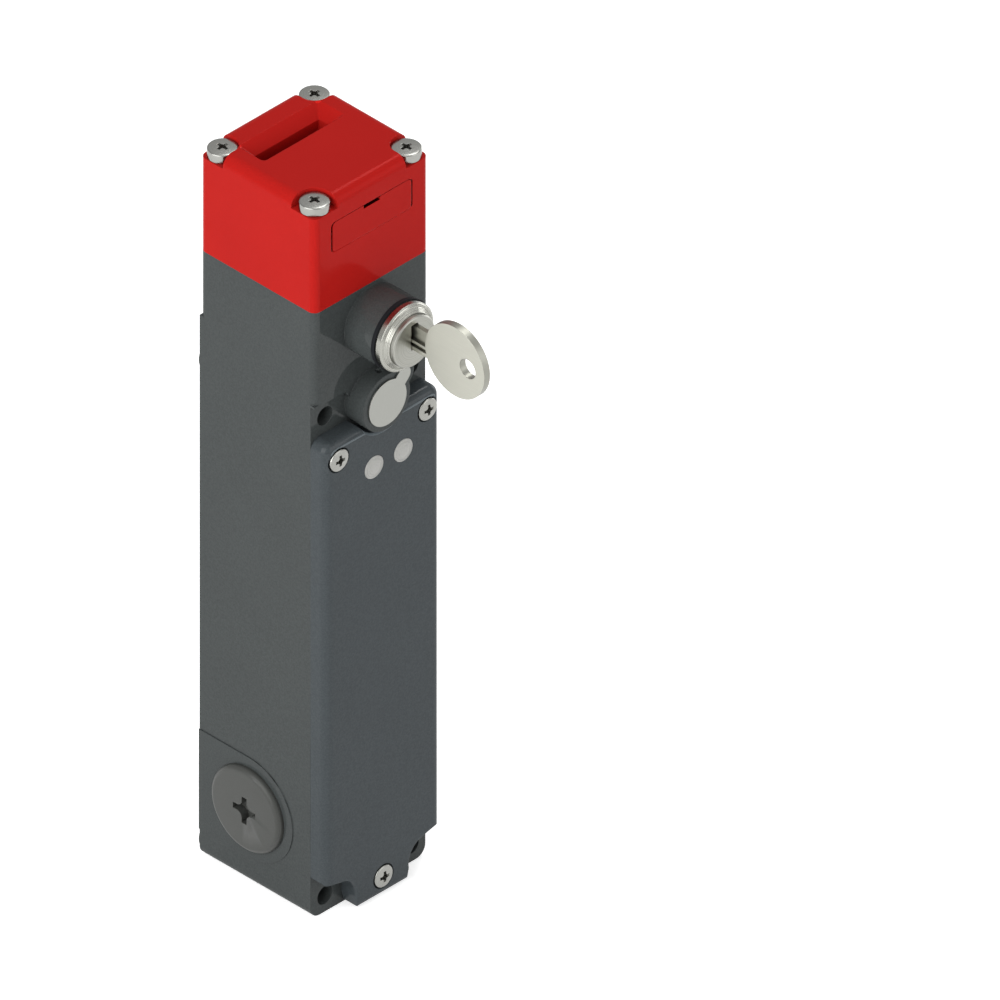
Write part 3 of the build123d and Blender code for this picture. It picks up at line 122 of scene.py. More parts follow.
class EnamelSettings(bpy.types.PropertyGroup):
    case_colour: FloatVectorProperty(
        name="Case", description="Enamel of the case", subtype="COLOR", default=(0.0625, 0.070, 0.0695)
    )
    # The cover's enamel is the case's grey made bluer: a painted cool light on the cover's front.
    cover_painted_cool_light: FloatVectorProperty(
        name="Cover", description="Enamel of the cover", subtype="COLOR", default=(0.0625, 0.0735, 0.0795)
    )
    head_colour: FloatVectorProperty(
        name="Head", description="Enamel of the head", subtype="COLOR", default=(0.515, 0.015, 0.012)
    )
    grain_size: FloatProperty(
        name="Grain", description="Size of the enamel's grain", subtype="DISTANCE", default=0.00045
    )
    grain_depth: FloatProperty(
        name="Grain depth", description="Height of the enamel's grain", subtype="DISTANCE", default=0.00005
    )
    edge_radius: FloatProperty(
        name="Edge", description="Radius of the castings' sharp edges", subtype="DISTANCE", default=0.00022
    )
    rim_radius: FloatProperty(
        name="Rim", description="Radius of the rims of the screw notches", subtype="DISTANCE", default=0.0005
    )
    cap_gap: FloatProperty(
        name="Cap gap", description="Extra gap at each end of the cap", subtype="DISTANCE", default=0.00028
    )
    # Share by which the painted highlight lightens the outward edges.
    edge_highlight: FloatProperty(name="Edge highlight", description="How much lighter the outward edges are", default=2.4)


class MetalSettings(bpy.types.PropertyGroup):
    bezel_colour: FloatVectorProperty(
        name="Lock", description="Plate of the lock", subtype="COLOR", default=(0.362, 0.362, 0.328)
    )
    key_colour: FloatVectorProperty(
        name="Key", description="Plate of the key", subtype="COLOR", default=(0.466, 0.464, 0.407)
    )
    screw_colour: FloatVectorProperty(
        name="Screws", description="Plate of the screws", subtype="COLOR", default=(0.30, 0.30, 0.28)
    )
    plate_colour: FloatVectorProperty(
        name="Seal", description="Finish of the seal plate", subtype="COLOR", default=(0.313, 0.316, 0.293)
    )
    turning_pitch: FloatProperty(
        name="Turning", description="Pitch of the marks of the lathe", subtype="DISTANCE", default=0.00018
    )


class MouldedSettings(bpy.types.PropertyGroup):
    plug_colour: FloatVectorProperty(
        name="Plugs", description="Resin of the entry plugs", subtype="COLOR", default=(0.061, 0.0635, 0.059)
    )
    lens_colour: FloatVectorProperty(
        name="Lenses", description="Resin of the lenses", subtype="COLOR", default=(0.446, 0.445, 0.423)
    )


class ScrewSettings(bpy.types.PropertyGroup):
    recess_span: FloatProperty(
        name="Recess span", description="Width of the cross recess", subtype="DISTANCE", default=0.0042
    )
    recess_width: FloatProperty(
        name="Recess arm", description="Width of an arm of the recess", subtype="DISTANCE", default=0.0011
    )
    recess_depth: FloatProperty(
        name="Recess depth", description="Depth of the recess", subtype="DISTANCE", default=0.0013
    )
    segments: IntProperty(name="Segments", description="Sides of a screw's head", default=64)


class ThreadSettings(bpy.types.PropertyGroup):
    pitch: FloatProperty(
        name="Pitch", description="Pitch of the bottom entry's thread", subtype="DISTANCE", default=0.0015
    )
    ridge: FloatProperty(
        name="Ridge", description="Radius of the thread's ridge", subtype="DISTANCE", default=0.0005
    )


class StageSettings(bpy.types.PropertyGroup):
    aim: FloatVectorProperty(
        name="Aim", description="Where the camera looks", subtype="XYZ", default=(0.03232, -0.03232, 0.1073)
    )
    frame_width: FloatProperty(
        name="Frame width", description="Width of the view at the switch", subtype="DISTANCE", default=0.24629
    )
    azimuth: FloatProperty(
        name="Azimuth", description="Turn of the camera from -Y", subtype="ANGLE", default=math.radians(315)
    )
    elevation: FloatProperty(
        name="Elevation", description="Height of the camera", subtype="ANGLE", default=math.radians(35.264)
    )
    sky_strength: FloatProperty(name="Sky", description="Strength of the soft light all round", default=0.3)
    key_power: FloatProperty(name="Key light", description="Large lamp on the left", unit="POWER", default=17.0)
    fill_power: FloatProperty(name="Fill light", description="Lamp in front", unit="POWER", default=8.4)
    top_power: FloatProperty(name="Top light", description="Lamp above and behind", unit="POWER", default=4.5)
    edge_power: FloatProperty(name="Edge light", description="Narrow lamp behind", unit="POWER", default=1.6)
    side_power: FloatProperty(name="Side light", description="Low lamp on the right", unit="POWER", default=2.8)


# Meshes


def new_piece(name, bm):
    """An object made from a finished bmesh."""
    mesh = bpy.data.meshes.new(name)
    bm.to_mesh(mesh)
    bm.free()
    piece = bpy.data.objects.new(name, mesh)
    bpy.context.scene.collection.objects.link(piece)
    return piece


def settle(piece):
    """Turns the piece's modifiers into a plain mesh."""
    bpy.context.view_layer.update()
    graph = bpy.context.evaluated_depsgraph_get()
    mesh = bpy.data.meshes.new_from_object(piece.evaluated_get(graph))
    mesh.name = piece.name
    piece.modifiers.clear()
    piece.data = mesh
    return piece


def smooth(piece, angle):
    """Smooth shading, with the edges past the angle kept sharp."""
    piece.data.shade_smooth()
    piece.data.set_sharp_from_angle(angle=math.radians(angle))
    return piece


def cut_away(piece, cutters):
    """Cuts the cutters out of the piece and removes them."""
    for cutter in cutters:
        cut = piece.modifiers.new("Cut", "BOOLEAN")
        cut.object = cutter
        cut.operation = "DIFFERENCE"
        cut.solver = "EXACT"
    settle(piece)
    for cutter in cutters:
        bpy.data.objects.remove(cutter)


def round_edges(piece, radius):
    """Rounds every sharp edge, keeps flat faces flat, and marks the outward rounds for a painted highlight."""
    sharp = math.radians(40)
    piece.data.materials.append(None)
    piece.data.materials.append(None)
    bevel = piece.modifiers.new("Round edges", "BEVEL")
    bevel.material = 1
    bevel.width = radius
    bevel.segments = 2
    bevel.limit_method = "ANGLE"
    bevel.angle_limit = sharp
    piece.data.shade_smooth()
    weights = piece.modifiers.new("Flat faces", "WEIGHTED_NORMAL")
    weights.keep_sharp = True
    weights.weight = 100
    return mark_edges(settle(piece))


def mark_edges(piece):
    """Marks the faces that the rounding put along outward edges for a painted highlight: 1 there and 0 on the
    others.
    """
    mesh = piece.data
    least_turn = 0.05
    bm = bmesh.new()
    bm.from_mesh(mesh)
    worn = []
    for face in bm.faces:
        turn = sum(edge.calc_face_angle_signed(0.0) for edge in face.edges)
        worn.append(1.0 if face.material_index == 1 and turn > least_turn else 0.0)
    bm.free()
    mesh.attributes.new("worn", "FLOAT", "FACE").data.foreach_set("value", worn)
    mesh.polygons.foreach_set("material_index", [0] * len(worn))
    return piece


def mark_painted_shade(piece, is_deep):
    """Stores 1 in "recess" on the faces that lie in a recess or catch no light, where a painted shade goes."""
    mesh = piece.data
    recess = mesh.attributes.new("recess", "FLOAT", "FACE")
    for face in mesh.polygons:
        recess.data[face.index].value = 1.0 if is_deep(face) else 0.0


def whole_copy(node, name):
    """A copy of a node's mesh with its triangles joined and its flat faces whole."""
    merge_distance = 0.002 * MM
    flat_angle = math.radians(0.4)
    bm = bmesh.new()
    bm.from_mesh(frame["nodes"][node].data)
    bmesh.ops.remove_doubles(bm, verts=bm.verts, dist=merge_distance)
    bmesh.ops.dissolve_limit(bm, angle_limit=flat_angle, verts=bm.verts, edges=bm.edges)
    return new_piece(name, bm)


def from_corner(place, low, high, inset):
    """How far a place is, in X and in Y, from the nearest corner of a box that is smaller by the inset."""
    return [min(abs(place[axis] - low[axis] - inset), abs(high[axis] - inset - place[axis])) for axis in (0, 1)]


def round_notch_rims(head, radius):
    """Rounds the upper rim of each screw notch, where it cuts the head's top and its broad edge."""
    low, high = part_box("head_screws")
    least_angle = math.radians(32)
    reach = 8.4 * MM
    bm = bmesh.new()
    bm.from_mesh(head.data)
    rims = []
    for edge in bm.edges:
        if len(edge.link_faces) != 2 or edge.calc_face_angle() < least_angle:
            continue
        middle = (edge.verts[0].co + edge.verts[1].co) / 2
        if max(from_corner(middle, low, high, 0)) < reach and min(v.co.z for v in edge.verts) > NOTCH_RIM_FOOT:
            rims.append(edge)
    bmesh.ops.bevel(bm, geom=rims, offset=radius, segments=3, profile=0.5, affect="EDGES", clamp_overlap=True)
    bm.to_mesh(head.data)
    bm.free()


def lathe(profile, segments, is_ring=False):
    """A closed solid about +Z from (radius, height) points: a loop of them, or a line from axis to axis."""
    bm = bmesh.new()
    turns = [2 * math.pi * step / segments for step in range(segments)]
    rings = []
    for radius, height in profile:
        if radius == 0:
            rings.append([bm.verts.new((0, 0, height))])
        else:
            places = [(radius * math.cos(turn), radius * math.sin(turn), height) for turn in turns]
            rings.append([bm.verts.new(place) for place in places])
    above = rings[1:] + rings[:1] if is_ring else rings[1:]
    for low, high in zip(rings, above):
        for step in range(segments):
            after = (step + 1) % segments
            corners = [low[step % len(low)], low[after % len(low)]]
            corners += [high[after % len(high)], high[step % len(high)]]
            bm.faces.new(list(dict.fromkeys(corners)))
    bmesh.ops.recalc_face_normals(bm, faces=bm.faces)
    return bm


def face_front(name, bm, node):
    """A piece from a shape made along +Z, turned to face -Y and set on the back of a node's box."""
    centre = node_centre(node)
    back = (centre.x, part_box(node)[1].y, centre.z)
    bmesh.ops.rotate(bm, verts=bm.verts, matrix=Matrix.Rotation(math.radians(90), 3, "X"))
    bmesh.ops.translate(bm, verts=bm.verts, vec=back)
    return new_piece(name, bm)


def adopt(piece, node, material):
    """Puts the piece in its node's place, on the node's body, with its finish."""
    piece.data.materials.clear()
    piece.data.materials.append(material)
    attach(piece, frame["nodes"][node]["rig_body"])
    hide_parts(node)


def finish_node(node, material):
    """Gives a node that shows as it is its finish."""
    mesh = frame["nodes"][node].data
    mesh.materials.clear()
    mesh.materials.append(material)


# Materials


def blank_material(name):
    """A new material, its tree and its shader."""
    material = bpy.data.materials.new(name)
    material.use_nodes = True
    return material, material.node_tree, material.node_tree.nodes["Principled BSDF"]


def add_node(tree, kind, label, **values):
    """A labelled node, with the values of its named inputs."""
    node = tree.nodes.new(kind)
    node.label = label
    for key, value in values.items():
        node.inputs[key].default_value = value
    return node


def feed(tree, value, socket):
    """Links a socket to an input, or sets the input to a value."""
    if isinstance(value, bpy.types.NodeSocket):
        tree.links.new(value, socket)
    else:
        socket.default_value = value


def calculate(tree, label, operation, first, second):
    """One step of arithmetic on sockets or numbers."""
    step = add_node(tree, "ShaderNodeMath", label)
    step.operation = operation
    feed(tree, first, step.inputs[0])
    feed(tree, second, step.inputs[1])
    return step.outputs["Value"]


def mix_colours(tree, label, factor, first, second, blend="MIX"):
    """A mix of two colours, each a socket or a value."""
    mix = add_node(tree, "ShaderNodeMix", label)
    mix.data_type = "RGBA"
    mix.blend_type = blend
    for key, value in (("Factor", factor), ("A", first), ("B", second)):
        feed(tree, value, mix.inputs[key])
    return mix.outputs["Result"]


def from_model(tree, name):
    """What the model stores for each place under an attribute's name."""
    stored = tree.nodes.new("ShaderNodeAttribute")
    stored.attribute_name = name
    return stored.outputs["Fac"]


def object_noise(tree, label, size, detail, stretch=(1, 1, 1)):
    """Noise over the object's own coordinates, with grains of about the given size."""
    place = tree.nodes.new("ShaderNodeTexCoord")
    mapping = add_node(tree, "ShaderNodeMapping", label + " place")
    mapping.inputs["Scale"].default_value = [axis / size for axis in stretch]
    noise = add_node(tree, "ShaderNodeTexNoise", label, Scale=1.0, Detail=detail)
    tree.links.new(place.outputs["Object"], mapping.inputs["Vector"])
    tree.links.new(mapping.outputs["Vector"], noise.inputs["Vector"])
    return noise.outputs["Fac"]


def turned_rings(tree, reach, pitch):
    """The fine rings of a lathe, from the distance to its axis."""
    rings = add_node(tree, "ShaderNodeTexNoise", "Rings", Scale=1.0, Detail=3.0)
    rings.noise_dimensions = "1D"
    tree.links.new(calculate(tree, "Turns", "MULTIPLY", reach, 1 / pitch), rings.inputs["W"])
    return rings.outputs["Fac"]


def shade_by(tree, factor, dark, light, low=0.3, high=0.7):
    """A colour between two tones, led by a factor."""
    ramp = add_node(tree, "ShaderNodeValToRGB", "Tones")
    ramp.color_ramp.elements[0].position = low
    ramp.color_ramp.elements[1].position = high
    ramp.color_ramp.elements[0].color = (*dark, 1)
    ramp.color_ramp.elements[1].color = (*light, 1)
    tree.links.new(factor, ramp.inputs["Fac"])
    return ramp.outputs["Color"]


def tone(colour, share):
    """The colour, brighter or darker by a share."""
    return tuple(min(1.0, channel * share) for channel in colour)


def bump_on_edges(tree, shader, height, depth, strength, radius):
    """Links a bump of the given depth over finely rounded edges, and gives the rounding."""
    rounded = add_node(tree, "ShaderNodeBevel", "Edges", Radius=radius)
    rounded.samples = 6
    bump = add_node(tree, "ShaderNodeBump", "Bump", Strength=strength, Distance=depth)
    tree.links.new(height, bump.inputs["Height"])
    tree.links.new(rounded.outputs["Normal"], bump.inputs["Normal"])
    tree.links.new(bump.outputs["Normal"], shader.inputs["Normal"])
    return rounded.outputs["Normal"]


def paint_shade_dark(material, dark):
    """Painted shade: makes a material's linked colour dark where the model marks a recess or a face that catches
    no light.
    """
    tree = material.node_tree
    colour = tree.nodes["Principled BSDF"].inputs["Base Color"]
    base = colour.links[0].from_socket
    tree.links.new(mix_colours(tree, "Painted shade", from_model(tree, "recess"), base, (*dark, 1)), colour)


def enamel(
    name, colour, paint, speck=0.10, roughness=0.5, depth=1.0, gloss=0.0, metallic=0.0, coat=0.3, edge_highlight=1.0
):
    """Stoved enamel: a fine grain, faint cloudiness, a painted highlight on the outward edges and a weak clear
    gloss.
    """
    material, tree, shader = blank_material(name)
    grain = object_noise(tree, "Grain", size=paint.grain_size, detail=3.0)
    cloud = object_noise(tree, "Cloud", size=22 * MM, detail=2.0)
    base = shade_by(tree, grain, tone(colour, 1 - speck), tone(colour, 1 + speck), low=0.32, high=0.68)
    cloudy = mix_colours(tree, "Cloudiness", 0.12, base, cloud, "MULTIPLY")
    # Painted highlight: the marked outward edges are lightened by the edge highlight share.
    bright = (*tone(colour, 1 + (paint.edge_highlight - 1) * edge_highlight), 1)
    with_edge_highlight = mix_colours(tree, "Painted highlight on the edges", from_model(tree, "worn"), cloudy, bright)
    tree.links.new(with_edge_highlight, shader.inputs["Base Color"])
    grain_depth = depth * paint.grain_depth
    rounded = bump_on_edges(tree, shader, grain, grain_depth, strength=0.6, radius=paint.edge_radius)
    tree.links.new(rounded, shader.inputs["Coat Normal"])
    shader.inputs["Roughness"].default_value = roughness
    shader.inputs["Specular IOR Level"].default_value = gloss
    shader.inputs["Metallic"].default_value = metallic
    shader.inputs["Coat Weight"].default_value = coat
    shader.inputs["Coat Roughness"].default_value = 0.05
    return material


def turned_metal(name, colour, centre, pitch, roughness):
    """Plated metal with the rings of a lathe about a line along Y through the centre."""
    material, tree, shader = blank_material(name)
    place = tree.nodes.new("ShaderNodeTexCoord")
    from_centre = add_node(tree, "ShaderNodeVectorMath", "From the axis")
    from_centre.operation = "SUBTRACT"
    from_centre.inputs[1].default_value = centre
    flat = add_node(tree, "ShaderNodeVectorMath", "Flat part")
    flat.operation = "MULTIPLY"
    flat.inputs[1].default_value = (1, 0, 1)
    reach = add_node(tree, "ShaderNodeVectorMath", "Reach")
    reach.operation = "LENGTH"
    tree.links.new(place.outputs["Object"], from_centre.inputs[0])
    tree.links.new(from_centre.outputs["Vector"], flat.inputs[0])
    tree.links.new(flat.outputs["Vector"], reach.inputs[0])
    rings = turned_rings(tree, reach.outputs["Value"], pitch)
    finish_metal(tree, shader, colour, rings, depth=0.014 * MM, roughness=roughness, contrast=0.18)
    return material


def brushed_metal(name, colour, stretch, size, depth, roughness=0.3, contrast=0.07):
    """Plated metal with fine lines along one direction."""
    material, tree, shader = blank_material(name)
    lines = object_noise(tree, "Lines", size, detail=3.0, stretch=stretch)
    finish_metal(tree, shader, colour, lines, depth, roughness, contrast)
    return material


def screw_metal(name, colour, pitch, roughness):
    """Plated steel with turned rings about each screw and a painted shade in the recess, both read from the
    model.
    """
    material, tree, shader = blank_material(name)
    rings = turned_rings(tree, from_model(tree, "reach"), pitch)
    finish_metal(tree, shader, colour, rings, depth=0.006 * MM, roughness=roughness, contrast=0.14)
    # Painted shade in the cross recess.
    paint_shade_dark(material, tone(colour, 0.8))
    return material


def finish_metal(tree, shader, colour, lines, depth, roughness, contrast):
    """Links a metal's colour, its lines and its fine edges."""
    base = shade_by(tree, lines, tone(colour, 1 - contrast), tone(colour, 1 + contrast))
    tree.links.new(base, shader.inputs["Base Color"])
    bump_on_edges(tree, shader, lines, depth, strength=0.5, radius=0.12 * MM)
    shader.inputs["Metallic"].default_value = 1.0
    shader.inputs["Roughness"].default_value = roughness


def moulded(name, colour, roughness, depth=0.012 * MM, gloss=0.25, coat=0.0):
    """Moulded resin with a fine spark-eroded texture."""
    material, tree, shader = blank_material(name)
    texture = object_noise(tree, "Texture", size=0.35 * MM, detail=4.0)
    base = shade_by(tree, texture, tone(colour, 0.95), tone(colour, 1.05))
    tree.links.new(base, shader.inputs["Base Color"])
    bump_on_edges(tree, shader, texture, depth, strength=0.5, radius=0.2 * MM)
    shader.inputs["Roughness"].default_value = roughness
    shader.inputs["Specular IOR Level"].default_value = gloss
    shader.inputs["Coat Weight"].default_value = coat
    shader.inputs["Coat Roughness"].default_value = 0.08
    return material


# Geometry Nodes


def start_tree(name, inputs):
    """A geometry tree with named inputs, each (name, socket type, default)."""
    tree = bpy.data.node_groups.new(name, "GeometryNodeTree")
    tree.interface.new_socket("Geometry", in_out="INPUT", socket_type="NodeSocketGeometry")
    for label, kind, default in inputs:
        socket = tree.interface.new_socket(label, in_out="INPUT", socket_type=kind)
        if default is not None:
            socket.default_value = default
    tree.interface.new_socket("Geometry", in_out="OUTPUT", socket_type="NodeSocketGeometry")
    return tree, tree.nodes.new("NodeGroupInput"), tree.nodes.new("NodeGroupOutput")


def end_tree(tree, given, output, geometry):
    """Ends a tree in Realize Instances and Set Material."""
    real = tree.nodes.new("GeometryNodeRealizeInstances")
    coated = tree.nodes.new("GeometryNodeSetMaterial")
    tree.links.new(geometry, real.inputs["Geometry"])
    tree.links.new(real.outputs["Geometry"], coated.inputs["Geometry"])
    tree.links.new(given.outputs["Material"], coated.inputs["Material"])
    tree.links.new(coated.outputs["Geometry"], output.inputs["Geometry"])


def seated_copies_tree():
    """A tree that stands a copy of an object on every point, turned the same way."""
    tree, given, output = start_tree(
        "Seated copies",
        [
            ("Piece", "NodeSocketObject", None),
            ("Facing", "NodeSocketVector", (0, 0, 0)),
            ("Material", "NodeSocketMaterial", None),
        ],
    )
    source = tree.nodes.new("GeometryNodeObjectInfo")
    facing = tree.nodes.new("FunctionNodeEulerToRotation")
    copies = tree.nodes.new("GeometryNodeInstanceOnPoints")
    tree.links.new(given.outputs["Piece"], source.inputs["Object"])
    tree.links.new(given.outputs["Facing"], facing.inputs["Euler"])
    tree.links.new(given.outputs["Geometry"], copies.inputs["Points"])
    tree.links.new(source.outputs["Geometry"], copies.inputs["Instance"])
    tree.links.new(facing.outputs["Rotation"], copies.inputs["Rotation"])
    end_tree(tree, given, output, copies.outputs["Instances"])
    return tree


def thread_tree():
    """A tree that winds a ridge round the wall of a bore."""
    tree, given, output = start_tree(
        "Wound ridge",
        [
            ("Radius", "NodeSocketFloat", 0.00925),
            ("Length", "NodeSocketFloat", 0.013),
            ("Turns", "NodeSocketFloat", 8.0),
            ("Ridge", "NodeSocketFloat", 0.0005),
            ("Material", "NodeSocketMaterial", None),
        ],
    )
    coil = tree.nodes.new("GeometryNodeCurveSpiral")
    coil.inputs["Resolution"].default_value = 48
    section = tree.nodes.new("GeometryNodeCurvePrimitiveCircle")
    section.inputs["Resolution"].default_value = 6
    wound = tree.nodes.new("GeometryNodeCurveToMesh")
    wound.inputs["Fill Caps"].default_value = True
    tree.links.new(given.outputs["Radius"], coil.inputs["Start Radius"])
    tree.links.new(given.outputs["Radius"], coil.inputs["End Radius"])
    tree.links.new(given.outputs["Length"], coil.inputs["Height"])
    tree.links.new(given.outputs["Turns"], coil.inputs["Rotations"])
    tree.links.new(given.outputs["Ridge"], section.inputs["Radius"])
    tree.links.new(coil.outputs["Curve"], wound.inputs["Curve"])
    tree.links.new(section.outputs["Curve"], wound.inputs["Profile Curve"])
    end_tree(tree, given, output, wound.outputs["Mesh"])
    return tree


def grow(name, tree, points, values):
    """An object that a tree makes from points, turned into a plain mesh."""
    bm = bmesh.new()
    for point in points:
        bm.verts.new(point)
    piece = new_piece(name, bm)
    modifier = piece.modifiers.new(tree.name, "NODES")
    modifier.node_group = tree
    for item in tree.interface.items_tree:
        if item.in_out == "INPUT" and item.name in values:
            modifier[item.identifier] = values[item.name]
    return settle(piece)


# Pieces


def bridge(outline, far_outline):
    """A closed solid between two outlines that have as many corners."""
    bm = bmesh.new()
    near, far = [[bm.verts.new(corner) for corner in corners] for corners in (outline, far_outline)]
    for step in range(len(near)):
        after = (step + 1) % len(near)
        bm.faces.new((near[step], near[after], far[after], far[step]))
    bm.faces.new(near)
    bm.faces.new(far)
    bmesh.ops.recalc_face_normals(bm, faces=bm.faces)
    return bm


def recess_arm(name, screws, top, quarter):
    """A cutter for one pair of the recess's arms, narrower and shorter towards its floor."""
    half = screws.recess_span / 2
    arm = screws.recess_width / 2
    outlines = []
    for height, reach, side in ((top + MM, half, arm), (top - screws.recess_depth, 0.5 * half, 0.6 * arm)):
        corners = [(-reach, side), (reach, side), (reach, -side), (-reach, -side)]
        outlines.append([(x, y, height) for x, y in corners])
    bm = bridge(*outlines)
    bmesh.ops.rotate(bm, verts=bm.verts, matrix=Matrix.Rotation(math.radians(90) * quarter, 3, "Z"))
    return new_piece(f"{name}_arm_{quarter}", bm)


def cross_screw(name, head_radius, rim, dome, screws):
    """One cross-recess head on the origin, its seat at Z 0 and its shank left out."""
    edge = 0.32 * MM
    foot = 0.15 * MM
    flat = head_radius - edge
    crown = [(0, 0), (head_radius - foot, 0), (head_radius, foot)]
    for step in range(4):
        turn = math.radians(90) * step / 3
        crown.append((flat + edge * math.cos(turn), rim - edge + edge * math.sin(turn)))
    steps = 7
    for step in range(1, steps + 1):
        share = 1 - step / steps
        crown.append((flat * share, rim + dome * (1 - share**2)))
    piece = new_piece(name, lathe(crown, screws.segments))

    top = rim + dome
    floor = top - screws.recess_depth
    pocket = 0.8 * screws.recess_width
    profile = [
        (0, floor),
        (0.7 * pocket, floor + 0.1 * MM),
        (pocket, top - 0.3 * MM),
        (pocket, top + MM),
        (0, top + MM),
    ]
    cutters = [recess_arm(name, screws, top, quarter) for quarter in (0, 1)]
    cut_away(piece, [*cutters, new_piece(f"{name}_pocket", lathe(profile, 24))])

    reach = piece.data.attributes.new("reach", "FLOAT", "POINT")
    for vertex in piece.data.vertices:
        reach.data[vertex.index].value = math.hypot(vertex.co.x, vertex.co.y)
    # The faces deep in the cross recess are marked for painted shade.
    farthest = 0.56 * screws.recess_span
    lowest = floor - 0.05 * MM
    least_depth = 0.12 * MM

    def in_recess(face):
        away = math.hypot(face.center.x, face.center.y)
        skin = rim + dome * (1 - (away / flat) ** 2)
        return away < farthest and within(face.center.z, (lowest, skin - least_depth))

    mark_painted_shade(piece, in_recess)
    return smooth(piece, 32)


def trim_pads(case):
    """Takes off the sliver of wall that stands between the release boss and each fixing pad."""
    boss_z = node_centre("release_screw").z
    cover_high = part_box("cover")[1]
    heights = (cover_high.z - NEAR, boss_z + 3.4 * MM)
    front = CASE_FRONT_Y - 0.3 * MM
    reach = 8.3 * MM
    for side in (-1, 1):
        foot = [
            (vertex.co.x, vertex.co.z)
            for vertex in case.data.vertices
            if abs(vertex.co.y - CASE_FRONT_Y) < NEAR
            and abs(math.hypot(vertex.co.x, vertex.co.z - boss_z) - RELEASE_BOSS_RADIUS) < NEAR
            and side * vertex.co.x > 0
            and within(vertex.co.z, heights)
        ]
        outline = sorted(foot, key=lambda place: place[1])
        outline += [(side * reach, outline[-1][1]), (side * reach, cover_high.z)]
        bm = bridge([(x, front, z) for x, z in outline], [(x, cover_high.y, z) for x, z in outline])
        cut_away(case, [new_piece(f"pad_cutter_{side}", bm)])


def open_dip(cover):
    """Widens the cover's dip a little, so that its rim shows under the release boss."""
    boss = node_centre("release_screw")
    low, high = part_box("cover")
    profile = [
        (0, low.y - MM),
        (DIP_RADIUS + DIP_FLARE + MM, low.y - MM),
        (DIP_RADIUS, low.y + DIP_FLARE),
        (DIP_RADIUS, high.y + MM),
        (0, high.y + MM),
    ]
    bm = lathe(profile, 96)
    bmesh.ops.rotate(bm, verts=bm.verts, matrix=Matrix.Rotation(math.radians(-90), 3, "X"))
    bmesh.ops.translate(bm, verts=bm.verts, vec=(boss.x, 0, boss.z))
    cut_away(cover, [new_piece("dip_cutter", bm)])


def mark_rim(cover):
    """Marks the start of the round along the cover's top, and the flare of the dip, for a painted highlight."""
    top_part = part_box("cover")[1].z - 6 * MM
    start_tilt = (3, 13)
    flare_tilt = (20, 70)
    flare_reach = (DIP_RADIUS - 0.1 * MM, DIP_RADIUS + DIP_FLARE + 0.25 * MM)
    boss = node_centre("release_screw")
    worn = cover.data.attributes["worn"]
    for face in cover.data.polygons:
        tilt = math.degrees(face.normal.angle(Vector((0, -1, 0)), 0))
        away = math.hypot(face.center.x - boss.x, face.center.z - boss.z)
        on_top = within(tilt, start_tilt) and face.normal.z > 0.02 and face.center.z > top_part
        if on_top or (within(tilt, flare_tilt) and within(away, flare_reach)):
            worn.data[face.index].value = 1.0


class SWITCH_OT_case(bpy.types.Operator):
    """Enamel the case and the cover"""

    bl_idname = "switch.case"
    bl_label = "Case and cover"

    def execute(self, context):
        paint = context.scene.switch_enamel
        case_enamel = enamel("case_enamel", paint.case_colour, paint)
        # The cover's enamel carries a painted cool light.
        cover_enamel = enamel("cover_enamel", paint.cover_painted_cool_light, paint)
        case = whole_copy("body_casting", "case_shell")
        trim_pads(case)
        case = round_edges(case, paint.edge_radius)
        adopt(case, "body_casting", case_enamel)
        cover = whole_copy("cover", "cover_plate")
        open_dip(cover)
        cover_radius = 1.4 * paint.edge_radius
        cover = round_edges(cover, cover_radius)
        mark_rim(cover)
        adopt(cover, "cover", cover_enamel)
        return {"FINISHED"}


def mark_notch_rims(head):
    """Marks the rounded rims of the screw notches for a painted highlight."""
    low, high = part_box("head_screws")
    rim_reach = (4.05 * MM, 4.75 * MM)
    rim_tilt = (15, 75)
    worn = head.data.attributes["worn"]
    for face in head.data.polygons:
        away = math.hypot(*from_corner(face.center, low, high, HEAD_SCREW_RADIUS))
        tilt = math.degrees(face.normal.angle(Vector((0, 0, 1)), 0))
        if within(away, rim_reach) and within(tilt, rim_tilt) and face.center.z > NOTCH_RIM_FOOT:
            worn.data[face.index].value = 1.0


def mark_cap_walls(head):
    """Marks the side walls of the closed slot, which show only through the cap's joint, for painted shade."""
    low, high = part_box("front_slot_cap")
    reach = 0.6 * MM

    def beside_cap(face):
        spans = [(low[axis] - reach, high[axis] + reach) for axis in range(3)]
        return abs(face.normal.x) > 0.5 and all(map(within, face.center, spans))

    mark_painted_shade(head, beside_cap)


